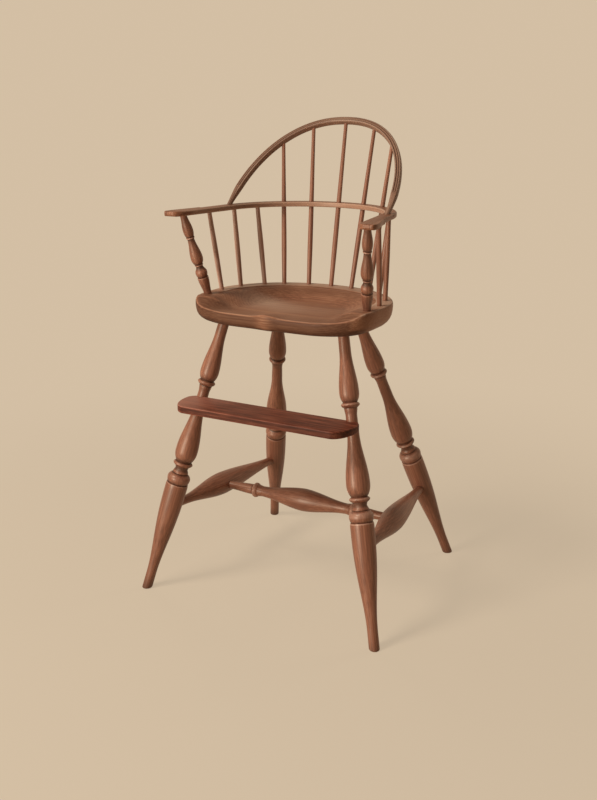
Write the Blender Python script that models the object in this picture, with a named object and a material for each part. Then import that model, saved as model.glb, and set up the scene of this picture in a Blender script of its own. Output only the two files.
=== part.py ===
# Windsor high chair: turned legs, a saddled plank seat, a bent arm rail and a bent bow back.
# Units are metres and +Z is up. The sitter faces -Y, the floor is z = 0, and x = 0 is the mirror plane.

import math

import bmesh
import bpy
from mathutils import Matrix, Vector

# Fits and facets
CLEARANCE = 0.0003
TURNED_SIDES = 12
SPINDLE_SIDES = 8
SMOOTH_ANGLE = math.radians(40)
BEVEL_ANGLE = math.radians(60)
CHAMFER_LIMIT = 0.45

# Seat plank
SEAT_TOP = 0.577
SEAT_THICKNESS = 0.042
SEAT_HALF_WIDTH = 0.1805
SEAT_MIDDLE_Y = -0.0525
SEAT_BACK_DEPTH = 0.149
SEAT_FRONT_DEPTH = 0.1185
SEAT_BACK_POWER = 2.0
SEAT_FRONT_POWER = 4.4
SEAT_SEGMENTS = 72
SEAT_NOSE = 0.003
SEAT_NOSE_HALF_WIDTH = 0.020
SEAT_TOP_ROUND = 0.0035
SEAT_UNDERCUT = 0.024
SEAT_FRONT_UNDERCUT = 0.010
UNDERCUT_TURN_START = 0.90
UNDERCUT_TURN_END = 0.45
DECK_SIDE_WIDTH = 0.0315
DECK_BACK_WIDTH = 0.038
GUTTER_STEP = 0.0015
SADDLE_DEPTH = 0.0225
SADDLE_WALL = 0.42
FRONT_LIP_RISE = 0.0045
POMMEL_RISE = 0.0045
POMMEL_HALF_WIDTH = 0.024
LIP_LENGTH = 0.080
SHOULDER_GAP = 0.012
SHOULDER_LENGTH = 0.036

# Places of the legs under the seat, and how far each foot stands out from its leg's top
FRONT_LEG_SIDE_INSET = 0.0572
FRONT_LEG_EDGE_INSET = 0.0610
FRONT_LEG_SPLAY = 0.1245
FRONT_LEG_RAKE = 0.1118
REAR_LEG_SIDE_INSET = 0.0950
REAR_LEG_EDGE_INSET = 0.0735
REAR_LEG_SPLAY = 0.1281
REAR_LEG_RAKE = 0.1980

# Turned leg, lengths down its axis from the underside of the seat
LEG_TENON_LENGTH = 0.023
LEG_TENON_RADIUS = 0.0095
LEG_TOP_RADIUS = 0.0101
LEG_STEM_LENGTH = 0.032
LEG_STEM_RADIUS = 0.0104
UPPER_VASE_LENGTH = 0.072
UPPER_VASE_RADIUS = 0.0176
UPPER_VASE_FOOT_LENGTH = 0.019
UPPER_QUIRK_RADIUS = 0.0128
UPPER_BEAD_WIDTH = 0.010
UPPER_BEAD_RADIUS = 0.0162
UPPER_NECK_LENGTH = 0.013
UPPER_NECK_RADIUS = 0.0099
LOWER_STEM_LENGTH = 0.030
LOWER_STEM_RADIUS = 0.0108
LOWER_VASE_LENGTH = 0.090
LOWER_VASE_RADIUS = 0.0213
LOWER_VASE_FOOT_LENGTH = 0.024
LOWER_QUIRK_RADIUS = 0.0150
LOWER_BEAD_WIDTH = 0.010
LOWER_BEAD_RADIUS = 0.0184
COVE_LENGTH = 0.010
COVE_RADIUS = 0.0133
BALL_LENGTH = 0.018
BALL_RADIUS = 0.0222
BALL_FOOT_LENGTH = 0.013
GROOVE_RADIUS = 0.0196
TAPER_RADIUS = 0.0215
TAPER_LEAD = 0.005
TAPER_POWER = 1.3
TAPER_STEPS = 7
TOE_LENGTH = 0.032
TOE_RADIUS = 0.0096

# Stretchers
STRETCHER_FRONT_HEIGHT = 0.167
STRETCHER_REAR_HEIGHT = 0.163
STRETCHER_TENON_DEPTH = 0.020
STRETCHER_TENON_RADIUS = 0.0068
STRETCHER_END_RADIUS = 0.0080
SIDE_BULB_RADIUS = 0.0213
SIDE_BULB_SHARE = 0.46
SIDE_BULB_STEPS = 7
CENTRE_RING_REACH = 0.1155
CENTRE_RING_RADIUS = 0.0146
CENTRE_RING_WIDTH = 0.010
CENTRE_NECK_RADIUS = 0.0104
CENTRE_NECK_LENGTH = 0.012
CENTRE_BULB_RADIUS = 0.0225
CENTRE_BULB_STEPS = 5

# Footrest board, coped round the upper necks of the front legs
FOOTREST_NECK_RUNS = 6
FOOTREST_DROP = 0.0085
FOOTREST_OVERHANG = 0.0228
FOOTREST_WIDTH = 0.074
FOOTREST_THICKNESS = 0.0135
FOOTREST_COPE_DEPTH = 0.0065
FOOTREST_FRONT_CORNER_LENGTH = 0.030
FOOTREST_FRONT_CORNER_DEPTH = 0.052
FOOTREST_REAR_CORNER = 0.009
FOOTREST_CORNER_STEPS = 6
FOOTREST_EDGE_ROUND = 0.002
DOWEL_RADIUS = 0.0030
DOWEL_IN_LEG = 0.012
DOWEL_IN_BOARD = 0.018

# Arm rail and hands
RAIL_RISE = 0.1488
RAIL_THICKNESS = 0.0094
RAIL_WIDTH = 0.023
RAIL_ROUND = 0.0023
RAIL_SEAT_INSET = 0.014
RAIL_FLARE = math.radians(9.3)
RAIL_BORE_FORWARD = 0.0035
RAIL_ARC_STEPS = 28
HAND_REACH = 0.0285
HAND_CORNER_LENGTH = 0.020
HAND_CORNER_DEPTH = 0.011
HAND_STEPS = 7
ARM_STEPS = 4
HAND_BLOCK_LENGTH = 0.085
HAND_BLOCK_WIDTH = 0.0135
HAND_BLOCK_STEP = 0.003
HAND_BLOCK_ROUND_LENGTH = 0.016

# Arm posts, lengths up the axis from the seat
POST_FRONT_INSET = 0.068
POST_EDGE_INSET = 0.014
POST_LEAN = 0.045
POST_FOOT_TENON_LENGTH = 0.020
POST_FOOT_TENON_RADIUS = 0.0062
POST_FOOT_RADIUS = 0.0071
POST_TAPER_LENGTH = 0.0335
POST_TAPER_RADIUS = 0.0104
POST_SCRIBE_RADIUS = 0.0090
POST_SCRIBE_LENGTH = 0.002
POST_BALL_LENGTH = 0.012
POST_BALL_RADIUS = 0.0107
POST_QUIRK_LENGTH = 0.010
POST_QUIRK_RADIUS = 0.0080
POST_VASE_LENGTH = 0.0155
POST_VASE_RADIUS = 0.0112
POST_NECK_LENGTH = 0.0385
POST_NECK_RADIUS = 0.0066
POST_BEAD_WIDTH = 0.008
POST_BEAD_RADIUS = 0.0086
POST_UPPER_VASE_LENGTH = 0.011
POST_UPPER_VASE_RADIUS = 0.0081
POST_TOP_RADIUS = 0.0062
POST_HEAD_TENON_LENGTH = 0.007
POST_HEAD_TENON_RADIUS = 0.0050

# Spindles
SPINDLE_EDGE_INSET = 0.0145
SHORT_SEAT_FIRST = math.radians(-0.5)
SHORT_SEAT_STEP = math.radians(18.1)
SHORT_RAIL_FIRST = math.radians(-5)
SHORT_RAIL_STEP = math.radians(19)
LONG_SEAT_STEP = math.radians(19.8)
LONG_BOW_STEP = math.radians(17.2)
FRONT_SPINDLE_FORWARD = 0.055
SPINDLE_SEAT_TENON = 0.018
SPINDLE_RAIL_TENON = 0.006
SPINDLE_BOW_TENON = 0.002
SPINDLE_FOOT_RADIUS = 0.0043
SPINDLE_SWELL_RADIUS = 0.0049
SPINDLE_SWELL_HEIGHT = 0.075
SPINDLE_RAIL_RADIUS = 0.0041
SPINDLE_BOW_RADIUS = 0.0035
SPINDLE_STEPS = 3

# Bow
BOW_RISE = 0.1523
BOW_END_BACK = 0.001
BOW_POWER = 2.2
BOW_WIDTH = 0.012
BOW_DEPTH = 0.011
BOW_ROUND = 0.0025
BOW_END_RADIUS = 0.0046
BOW_TAPER_LENGTH = 0.050
BOW_TENON_LENGTH = 0.0077
BOW_STEPS = 44
BOW_TENON_STEPS = 3
BOW_SOCKET_STEPS = 6
PIN_RADIUS = 0.0015
PIN_LENGTH = 0.016
PIN_DEPTH = 0.0039

# Woods: linear base colours, one for each kind of work
TURNED_WOOD = (0.205, 0.072, 0.036)
SEAT_WOOD = (0.225, 0.083, 0.042)
BENT_WOOD = (0.190, 0.066, 0.034)
WOOD_ROUGHNESS = 0.42

# Derived levels
SEAT_UNDER = SEAT_TOP - SEAT_THICKNESS
SEAT_BACK_Y = SEAT_MIDDLE_Y + SEAT_BACK_DEPTH
SEAT_FRONT_Y = SEAT_MIDDLE_Y - SEAT_FRONT_DEPTH
RAIL_RADIUS = SEAT_HALF_WIDTH - RAIL_SEAT_INSET
RAIL_UNDER = SEAT_TOP + RAIL_RISE
RAIL_TOP = RAIL_UNDER + RAIL_THICKNESS
RAIL_MIDDLE = RAIL_UNDER + RAIL_THICKNESS / 2
POST_FORWARD = SEAT_FRONT_DEPTH - POST_FRONT_INSET
POST_Y = SEAT_MIDDLE_Y - POST_FORWARD
POST_RAIL_FORWARD = (POST_FORWARD + POST_LEAN) / math.cos(RAIL_FLARE) + RAIL_RADIUS * math.tan(RAIL_FLARE)
HAND_TIP = POST_RAIL_FORWARD + HAND_REACH


def smoothstep(value):
    value = min(max(value, 0.0), 1.0)
    return value * value * (3 - 2 * value)


def oval_radius(angle, half_width, depth, power):
    """Distance from the middle of a superellipse to its rim."""
    across = abs(math.cos(angle)) / half_width
    along = abs(math.sin(angle)) / depth
    return (across ** power + along ** power) ** (-1 / power)


# Bodies

def wood(name, colour):
    material = bpy.data.materials.new(name + "_wood")
    material.use_nodes = True
    shader = material.node_tree.nodes["Principled BSDF"]
    shader.inputs["Base Color"].default_value = (*colour, 1.0)
    shader.inputs["Roughness"].default_value = WOOD_ROUGHNESS
    shader.inputs["Metallic"].default_value = 0.0
    return material


def add_object(name, body, matrix):
    bmesh.ops.recalc_face_normals(body, faces=body.faces)
    mesh = bpy.data.meshes.new(name)
    body.to_mesh(mesh)
    body.free()
    mesh.shade_smooth()
    mesh.set_sharp_from_angle(angle=SMOOTH_ANGLE)
    item = bpy.data.objects.new(name, mesh)
    bpy.context.collection.objects.link(item)
    item.matrix_world = matrix
    return item


def add_piece(name, body, colour, matrix=Matrix()):
    piece = add_object(name, body, matrix)
    piece.data.materials.append(wood(name, colour))
    piece.parent = CHAIR
    return piece


def loft(sections):
    """Closed body through a list of sections with equal numbers of points."""
    body = bmesh.new()
    rings = [[body.verts.new(point) for point in section] for section in sections]
    for lower, upper in zip(rings, rings[1:]):
        for index in range(len(lower)):
            after = (index + 1) % len(lower)
            body.faces.new((lower[index], lower[after], upper[after], upper[index]))
    body.faces.new(list(reversed(rings[0])))
    body.faces.new(rings[-1])
    return body


def turn(profile, sides):
    """Body of revolution about local Z from (distance, radius) pairs."""
    corners = [math.tau * index / sides for index in range(sides)]
    return loft([
        [Vector((radius * math.cos(corner), radius * math.sin(corner), distance)) for corner in corners]
        for distance, radius in profile
    ])


def cut(host, name, bodies):
    """Take closed bodies, given in world space, out of a host."""
    joined = bmesh.new()
    for body in bodies:
        bmesh.ops.recalc_face_normals(body, faces=body.faces)
        mesh = bpy.data.meshes.new(name)
        body.to_mesh(mesh)
        body.free()
        joined.from_mesh(mesh)
        bpy.data.meshes.remove(mesh)
    cutter = add_object(name, joined, Matrix())
    cutter.hide_render = True
    cutter.display_type = "WIRE"
    modifier = host.modifiers.new(name, "BOOLEAN")
    modifier.operation = "DIFFERENCE"
    modifier.solver = "EXACT"
    modifier.object = cutter


# Turned work

def eased_profile(start, radius, runs):
    """Turned outline: runs of (length, end radius, steps), each eased like a stroke of the gouge."""
    points = [(start, radius)]
    for length, end_radius, steps in runs:
        base, base_radius = points[-1]
        for step in range(1, steps + 1):
            share = step / steps
            eased = (1 - math.cos(math.pi * share)) / 2
            points.append((base + length * share, base_radius + (end_radius - base_radius) * eased))
    return points


def radius_at(profile, distance):
    if distance <= profile[0][0]:
        return profile[0][1]
    for (low, low_radius), (high, high_radius) in zip(profile, profile[1:]):
        if distance <= high:
            return low_radius + (high_radius - low_radius) * (distance - low) / (high - low)
    return profile[-1][1]


def axis_matrix(start, end):
    """Frame at start whose +Z points at end."""
    turned = (end - start).to_track_quat("Z", "Y").to_matrix().to_4x4()
    return Matrix.Translation(start) @ turned


def socket(profile, low, high, matrix, sides):
    """World-space cutter that clears a turned piece between two distances on its axis."""
    inside = [point for point in profile if low < point[0] < high]
    stretch = [(low, radius_at(profile, low)), *inside, (high, radius_at(profile, high))]
    body = turn([(distance, radius + CLEARANCE) for distance, radius in stretch], sides)
    body.transform(matrix)
    return body


def mirrored(point, side):
    return Vector((side * point.x, point.y, point.z))


# Seat

def seat_rim(angle, inset=0.0):
    """Distance from the seat's middle to its edge, less an inset."""
    if math.sin(angle) >= 0:
        return oval_radius(angle, SEAT_HALF_WIDTH - inset, SEAT_BACK_DEPTH - inset, SEAT_BACK_POWER)
    return oval_radius(angle, SEAT_HALF_WIDTH - inset, SEAT_FRONT_DEPTH - inset, SEAT_FRONT_POWER)


def gutter_rim(angle):
    """Distance from the seat's middle to the gutter that bounds the flat deck."""
    width = SEAT_HALF_WIDTH - DECK_SIDE_WIDTH
    if math.sin(angle) >= 0:
        return oval_radius(angle, width, SEAT_BACK_DEPTH - DECK_BACK_WIDTH, SEAT_BACK_POWER)
    return oval_radius(angle, width, SEAT_FRONT_DEPTH - DECK_SIDE_WIDTH, SEAT_FRONT_POWER)


def seat_point(angle, inset, height):
    radius = seat_rim(angle, inset)
    return Vector((radius * math.cos(angle), SEAT_MIDDLE_Y + radius * math.sin(angle), height))


def seat_height(x, y, share):
    """Top of the seat; share is the distance from the middle over the gutter's distance."""
    shoulder = smoothstep((POST_Y - SHOULDER_GAP - y) / SHOULDER_LENGTH)
    towards_front = smoothstep(1 - (y - SEAT_FRONT_Y) / LIP_LENGTH)
    lip = towards_front * (FRONT_LIP_RISE + POMMEL_RISE * math.exp(-(x / POMMEL_HALF_WIDTH) ** 2))
    hollow = 0.0
    if share < 1:
        step = GUTTER_STEP / SADDLE_DEPTH
        hollow = step + (1 - step) * smoothstep((1 - share) / SADDLE_WALL)
    drop = 1 - (1 - hollow) * (1 - shoulder)
    return SEAT_TOP - (SADDLE_DEPTH - lip) * drop


def seat_undercut(angle):
    """How far the underside stands in: less along the front than at the ends and behind."""
    if math.sin(angle) >= 0:
        return SEAT_UNDERCUT
    turn_range = UNDERCUT_TURN_START - UNDERCUT_TURN_END
    frontal = smoothstep((UNDERCUT_TURN_START - abs(math.cos(angle))) / turn_range)
    return SEAT_UNDERCUT + (SEAT_FRONT_UNDERCUT - SEAT_UNDERCUT) * frontal


def make_seat():
    angles = [math.tau * index / SEAT_SEGMENTS for index in range(SEAT_SEGMENTS)]
    # Each edge ring: share of the edge's height, and shares of the undercut and of the top's round
    edge_rings = ((0.0, 1.0, 0.0), (0.10, 0.55, 0.0), (0.32, 0.20, 0.0),
                  (0.62, 0.03, 0.0), (0.90, 0.0, 0.25), (1.0, 0.0, 1.0))
    saddle_rings = (1.0, 0.985, 0.92, 0.85, 0.77, 0.68, 0.57, 0.43, 0.27, 0.12)
    sections = []
    for height_share, undercut_share, round_share in edge_rings:
        section = []
        for angle in angles:
            inset = undercut_share * seat_undercut(angle) + round_share * SEAT_TOP_ROUND
            edge = seat_point(angle, inset, 0.0)
            edge.y -= SEAT_NOSE * math.exp(-(edge.x / SEAT_NOSE_HALF_WIDTH) ** 2) * (math.sin(angle) < 0)
            top = seat_height(edge.x, edge.y, 1.0)
            edge.z = SEAT_UNDER + height_share * (top - SEAT_UNDER)
            section.append(edge)
        sections.append(section)
    for share in saddle_rings:
        section = []
        for angle in angles:
            radius = share * gutter_rim(angle)
            x = radius * math.cos(angle)
            y = SEAT_MIDDLE_Y + radius * math.sin(angle)
            section.append(Vector((x, y, seat_height(x, y, share))))
        sections.append(section)
    return add_piece("seat", loft(sections), SEAT_WOOD)


# Legs

def leg_runs(length):
    """Turned runs of one leg from the seat's underside to the floor."""
    turned_runs = [
        (LEG_STEM_LENGTH, LEG_STEM_RADIUS, 1),
        (UPPER_VASE_LENGTH, UPPER_VASE_RADIUS, 5),
        (UPPER_VASE_FOOT_LENGTH, UPPER_QUIRK_RADIUS, 3),
        (UPPER_BEAD_WIDTH / 2, UPPER_BEAD_RADIUS, 1),
        (UPPER_BEAD_WIDTH / 2, UPPER_QUIRK_RADIUS, 1),
        (UPPER_NECK_LENGTH, UPPER_NECK_RADIUS, 2),
        (LOWER_STEM_LENGTH, LOWER_STEM_RADIUS, 1),
        (LOWER_VASE_LENGTH, LOWER_VASE_RADIUS, 6),
        (LOWER_VASE_FOOT_LENGTH, LOWER_QUIRK_RADIUS, 3),
        (LOWER_BEAD_WIDTH / 2, LOWER_BEAD_RADIUS, 1),
        (LOWER_BEAD_WIDTH / 2, LOWER_QUIRK_RADIUS, 1),
        (COVE_LENGTH, COVE_RADIUS, 1),
        (BALL_LENGTH, BALL_RADIUS, 3),
        (BALL_FOOT_LENGTH, GROOVE_RADIUS, 2),
        (TAPER_LEAD, TAPER_RADIUS, 1),
    ]
    taper_length = length - TOE_LENGTH - sum(run[0] for run in turned_runs)
    radius = TAPER_RADIUS
    for step in range(1, TAPER_STEPS + 1):
        share = (step / TAPER_STEPS) ** TAPER_POWER
        radius = TAPER_RADIUS + (TOE_RADIUS - TAPER_RADIUS) * (1 - math.cos(math.pi * share)) / 2
        turned_runs.append((taper_length / TAPER_STEPS, radius, 1))
    turned_runs.append((TOE_LENGTH + TOE_RADIUS, TOE_RADIUS, 1))
    return turned_runs


def leg_line(front, side):
    """Top of a leg's axis in the seat's underside, and its foot on the floor."""
    if front:
        top = Vector((SEAT_HALF_WIDTH - FRONT_LEG_SIDE_INSET, SEAT_FRONT_Y + FRONT_LEG_EDGE_INSET, 0))
        foot = top + Vector((FRONT_LEG_SPLAY, -FRONT_LEG_RAKE, 0))
    else:
        top = Vector((SEAT_HALF_WIDTH - REAR_LEG_SIDE_INSET, SEAT_BACK_Y - REAR_LEG_EDGE_INSET, 0))
        foot = top + Vector((REAR_LEG_SPLAY, REAR_LEG_RAKE, 0))
    top.z = SEAT_UNDER
    return mirrored(top, side), mirrored(foot, side)


def leg_profile(top, foot):
    tenon = [(LEG_TENON_LENGTH, LEG_TOP_RADIUS, 1)]
    runs = tenon + leg_runs((foot - top).length)
    return eased_profile(-LEG_TENON_LENGTH, LEG_TENON_RADIUS, runs)


def make_leg(name, top, foot):
    matrix = axis_matrix(top, foot)
    body = turn(leg_profile(top, foot), TURNED_SIDES)
    to_local = matrix.inverted()
    level = to_local.to_3x3() @ Vector((0, 0, 1))
    floor = bmesh.ops.bisect_plane(
        body, geom=[*body.verts, *body.edges, *body.faces], dist=1e-7,
        plane_co=to_local @ Vector((0, 0, 0)), plane_no=level, clear_inner=True)
    rim = [item for item in floor["geom_cut"] if isinstance(item, bmesh.types.BMEdge)]
    bmesh.ops.edgeloop_fill(body, edges=rim)
    return add_piece(name, body, TURNED_WOOD, matrix)


def point_at_height(top, foot, height):
    return top + (foot - top) * (top.z - height) / (top.z - foot.z)


# Stretchers

def side_stretcher_line(side):
    """Front and rear ends on the legs' axes, and the leg radius at each."""
    front_top, front_foot = leg_line(True, side)
    rear_top, rear_foot = leg_line(False, side)
    front = point_at_height(front_top, front_foot, STRETCHER_FRONT_HEIGHT)
    rear = point_at_height(rear_top, rear_foot, STRETCHER_REAR_HEIGHT)
    front_radius = radius_at(leg_profile(front_top, front_foot), (front - front_top).length)
    rear_radius = radius_at(leg_profile(rear_top, rear_foot), (rear - rear_top).length)
    return front, rear, front_radius, rear_radius


def side_stretcher_profile(side):
    front, rear, front_radius, rear_radius = side_stretcher_line(side)
    length = (rear - front).length
    bulb = SIDE_BULB_SHARE * length
    start = front_radius - STRETCHER_TENON_DEPTH
    runs = [
        (STRETCHER_TENON_DEPTH, STRETCHER_END_RADIUS, 1),
        (bulb - front_radius, SIDE_BULB_RADIUS, SIDE_BULB_STEPS),
        (length - rear_radius - bulb, STRETCHER_END_RADIUS, SIDE_BULB_STEPS),
        (STRETCHER_TENON_DEPTH, STRETCHER_TENON_RADIUS, 1),
    ]
    return eased_profile(start, STRETCHER_TENON_RADIUS, runs)


def centre_stretcher_line():
    left_front, left_rear, *_ = side_stretcher_line(-1)
    left = left_front.lerp(left_rear, SIDE_BULB_SHARE)
    return left, mirrored(left, -1)


def centre_stretcher_profile():
    left, right = centre_stretcher_line()
    half = (right - left).length / 2
    ring = half - CENTRE_RING_REACH
    end_length = ring - CENTRE_RING_WIDTH / 2 - SIDE_BULB_RADIUS
    bulb_length = CENTRE_RING_REACH - CENTRE_RING_WIDTH / 2 - CENTRE_NECK_LENGTH
    half_runs = [
        (STRETCHER_TENON_DEPTH, STRETCHER_END_RADIUS, 1),
        (end_length, CENTRE_NECK_RADIUS, 2),
        (CENTRE_RING_WIDTH / 2, CENTRE_RING_RADIUS, 1),
        (CENTRE_RING_WIDTH / 2, CENTRE_NECK_RADIUS, 1),
        (CENTRE_NECK_LENGTH, CENTRE_NECK_RADIUS, 1),
        (bulb_length, CENTRE_BULB_RADIUS, CENTRE_BULB_STEPS),
    ]
    start = SIDE_BULB_RADIUS - STRETCHER_TENON_DEPTH
    near = eased_profile(start, STRETCHER_TENON_RADIUS, half_runs)
    far = [(2 * half - distance, radius) for distance, radius in reversed(near[:-1])]
    return near + far


def make_stretchers(legs):
    sides = {}
    for side, hand in ((-1, "left"), (1, "right")):
        front, rear, front_radius, rear_radius = side_stretcher_line(side)
        profile = side_stretcher_profile(side)
        matrix = axis_matrix(front, rear)
        sides[side] = add_piece(hand + "_side_stretcher", turn(profile, TURNED_SIDES), TURNED_WOOD, matrix)
        start, end = profile[0][0], profile[-1][0]
        near = socket(profile, start - CLEARANCE, 2 * front_radius, matrix, TURNED_SIDES)
        far = socket(profile, end - 2 * rear_radius, end + CLEARANCE, matrix, TURNED_SIDES)
        cut(legs["front", side], hand + "_front_stretcher_socket", [near])
        cut(legs["rear", side], hand + "_rear_stretcher_socket", [far])
    left, right = centre_stretcher_line()
    profile = centre_stretcher_profile()
    matrix = axis_matrix(left, right)
    add_piece("centre_stretcher", turn(profile, TURNED_SIDES), TURNED_WOOD, matrix)
    start, end = profile[0][0], profile[-1][0]
    reach = SIDE_BULB_RADIUS + CENTRE_RING_WIDTH
    cut(sides[-1], "centre_socket_left",
        [socket(profile, start - CLEARANCE, reach, matrix, TURNED_SIDES)])
    cut(sides[1], "centre_socket_right",
        [socket(profile, start + end - reach, end + CLEARANCE, matrix, TURNED_SIDES)])


# Footrest

def arc_points(centre, length, depth, first, last, steps):
    """Stretch of an ellipse in plan."""
    return [
        Vector((centre[0] + length * math.cos(angle), centre[1] + depth * math.sin(angle)))
        for angle in (first + (last - first) * step / steps for step in range(steps + 1))
    ]


def make_footrest(legs):
    top, foot = leg_line(True, 1)
    runs_above = leg_runs((foot - top).length)[:FOOTREST_NECK_RUNS]
    neck = sum(run[0] for run in runs_above) + FOOTREST_DROP
    upper = top.lerp(foot, neck / (foot - top).length)
    leg_radius = radius_at(leg_profile(top, foot), neck)
    rear_y = upper.y - leg_radius + FOOTREST_COPE_DEPTH
    front_y = rear_y - FOOTREST_WIDTH
    half_length = upper.x + FOOTREST_OVERHANG
    under = upper.z - FOOTREST_THICKNESS
    front_centre = (half_length - FOOTREST_FRONT_CORNER_LENGTH, front_y + FOOTREST_FRONT_CORNER_DEPTH)
    rear_centre = (half_length - FOOTREST_REAR_CORNER, rear_y - FOOTREST_REAR_CORNER)
    quarter = math.pi / 2
    right = arc_points(front_centre, FOOTREST_FRONT_CORNER_LENGTH, FOOTREST_FRONT_CORNER_DEPTH,
                       -quarter, 0, FOOTREST_CORNER_STEPS)
    right += arc_points(rear_centre, FOOTREST_REAR_CORNER, FOOTREST_REAR_CORNER,
                        0, quarter, FOOTREST_CORNER_STEPS // 2)
    outline = right + [Vector((-point.x, point.y)) for point in reversed(right)]
    sections = [[Vector((point.x, point.y, height)) for point in outline] for height in (under, upper.z)]
    board = add_piece("footrest", loft(sections), SEAT_WOOD)
    rounding = board.modifiers.new("eased_edges", "BEVEL")
    rounding.width = FOOTREST_EDGE_ROUND
    rounding.segments = 2
    rounding.angle_limit = BEVEL_ANGLE

    copes = []
    dowel_holes = []
    for side, hand in ((-1, "left"), (1, "right")):
        leg_top, leg_foot = leg_line(True, side)
        leg_matrix = axis_matrix(leg_top, leg_foot)
        profile = leg_profile(leg_top, leg_foot)
        copes.append(socket(profile, neck - FOOTREST_THICKNESS, neck + 2 * FOOTREST_THICKNESS,
                            leg_matrix, TURNED_SIDES))
        middle = point_at_height(leg_top, leg_foot, upper.z - FOOTREST_THICKNESS / 2)
        hole_end = middle + Vector((0, DOWEL_IN_LEG - leg_radius, 0))
        matrix = axis_matrix(hole_end, hole_end + Vector((0, -1, 0)))
        length = DOWEL_IN_LEG + DOWEL_IN_BOARD
        pin = [(0.0, DOWEL_RADIUS), (length, DOWEL_RADIUS)]
        add_piece("footrest_dowel_" + hand, turn(pin, SPINDLE_SIDES), TURNED_WOOD, matrix)
        cut(legs["front", side], hand + "_dowel_hole",
            [socket(pin, -CLEARANCE, length, matrix, SPINDLE_SIDES)])
        dowel_holes.append(socket(pin, 0.0, length + CLEARANCE, matrix, SPINDLE_SIDES))
    cut(board, "footrest_copes", copes)
    cut(board, "footrest_dowel_holes", dowel_holes)


# Arm rail

def rail_arc_point(angle, height):
    return Vector((RAIL_RADIUS * math.cos(angle), SEAT_MIDDLE_Y + RAIL_RADIUS * math.sin(angle), height))


def rail_arm_point(forward, height):
    """Point on the right arm, a distance forward of the end of the bend."""
    end = rail_arc_point(RAIL_FLARE, height)
    return end + forward * Vector((math.sin(RAIL_FLARE), -math.cos(RAIL_FLARE), 0))


def chamfered_section(width_low, width_high, thick_low, thick_high, chamfer):
    """Rectangle corners with cut arrises, as (across, up) pairs in order."""
    chamfer = min(chamfer, CHAMFER_LIMIT * (width_high - width_low))
    return (
        (width_low + chamfer, thick_low), (width_high - chamfer, thick_low),
        (width_high, thick_low + chamfer), (width_high, thick_high - chamfer),
        (width_high - chamfer, thick_high), (width_low + chamfer, thick_high),
        (width_low, thick_high - chamfer), (width_low, thick_low + chamfer),
    )


def arm_section(forward, low, high):
    """Section of the right arm between two offsets; towards the tip it turns square to the chair."""
    outward = Vector((math.cos(RAIL_FLARE), math.sin(RAIL_FLARE), 0))
    ahead = Vector((math.sin(RAIL_FLARE), -math.cos(RAIL_FLARE), 0))
    skew = math.tan(RAIL_FLARE) * smoothstep(1 - (HAND_TIP - forward) / HAND_BLOCK_LENGTH)
    base = rail_arm_point(forward, RAIL_UNDER)
    shape = chamfered_section(low, high, 0, RAIL_THICKNESS, RAIL_ROUND)
    return [base + (outward + skew * ahead) * across + Vector((0, 0, up)) for across, up in shape]


def make_arm_rail():
    half = RAIL_WIDTH / 2
    sections = []
    # The hand's inner corner is a quarter of an ellipse, from the tip back to the full width
    for step in range(HAND_STEPS + 1):
        turned = (math.pi / 2) * step / HAND_STEPS
        forward = HAND_TIP - HAND_CORNER_LENGTH * (1 - math.cos(turned))
        sections.append(arm_section(forward, HAND_CORNER_DEPTH * (1 - math.sin(turned)) - half, half))
    straight = HAND_TIP - HAND_CORNER_LENGTH
    for step in range(1, ARM_STEPS):
        sections.append(arm_section(straight * (1 - step / ARM_STEPS), -half, half))
    left_arm = [[mirrored(point, -1) for point in section] for section in reversed(sections)]
    shape = chamfered_section(-half, half, 0, RAIL_THICKNESS, RAIL_ROUND)
    for step in range(RAIL_ARC_STEPS + 1):
        angle = RAIL_FLARE + (math.pi - 2 * RAIL_FLARE) * step / RAIL_ARC_STEPS
        base = rail_arc_point(angle, RAIL_UNDER)
        radial = Vector((math.cos(angle), math.sin(angle), 0))
        sections.append([base + radial * across + Vector((0, 0, up)) for across, up in shape])
    return add_piece("arm_rail", loft(sections + left_arm), BENT_WOOD)


def make_hand_block(hand, side):
    """Piece glued to the outer side of the rail, which widens the hand."""
    inner = RAIL_WIDTH / 2 + CLEARANCE
    swell = HAND_BLOCK_WIDTH - HAND_BLOCK_STEP
    swell_length = HAND_BLOCK_LENGTH - HAND_BLOCK_ROUND_LENGTH
    outline = []
    for step in range(HAND_STEPS + 1):
        share = step / HAND_STEPS
        forward = HAND_TIP - HAND_BLOCK_LENGTH + swell_length * share
        outline.append((forward, HAND_BLOCK_STEP + swell * smoothstep(share)))
    for step in range(1, HAND_STEPS + 1):
        turned = (math.pi / 2) * step / HAND_STEPS
        forward = HAND_TIP - HAND_BLOCK_ROUND_LENGTH * (1 - math.sin(turned))
        outline.append((forward, HAND_BLOCK_STEP + swell * math.cos(turned)))
    sections = []
    for forward, width in outline:
        section = arm_section(forward, inner, inner + width)
        sections.append([mirrored(point, side) for point in section])
    add_piece(hand + "_hand_block", loft(sections), BENT_WOOD)


# Bow

def bow_frame():
    """Bow's end on the rail, the up direction in its plane, and its half width and height there."""
    foot = rail_arm_point(-BOW_END_BACK, RAIL_TOP)
    centre_line = long_spindle_slope()
    apex_z = RAIL_TOP + BOW_RISE
    apex = Vector((0, SEAT_BACK_Y - SPINDLE_EDGE_INSET + centre_line * (apex_z - SEAT_TOP), apex_z))
    base = Vector((0, foot.y, RAIL_TOP))
    rise = apex - base
    return base, rise.normalized(), foot.x, rise.length


def long_spindle_slope():
    """Backward lean of the centre spindle, which the seat and the rail fix."""
    seat_y = SEAT_BACK_Y - SPINDLE_EDGE_INSET
    rail_y = SEAT_MIDDLE_Y + RAIL_RADIUS - RAIL_BORE_FORWARD
    return (rail_y - seat_y) / (RAIL_MIDDLE - SEAT_TOP)


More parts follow.
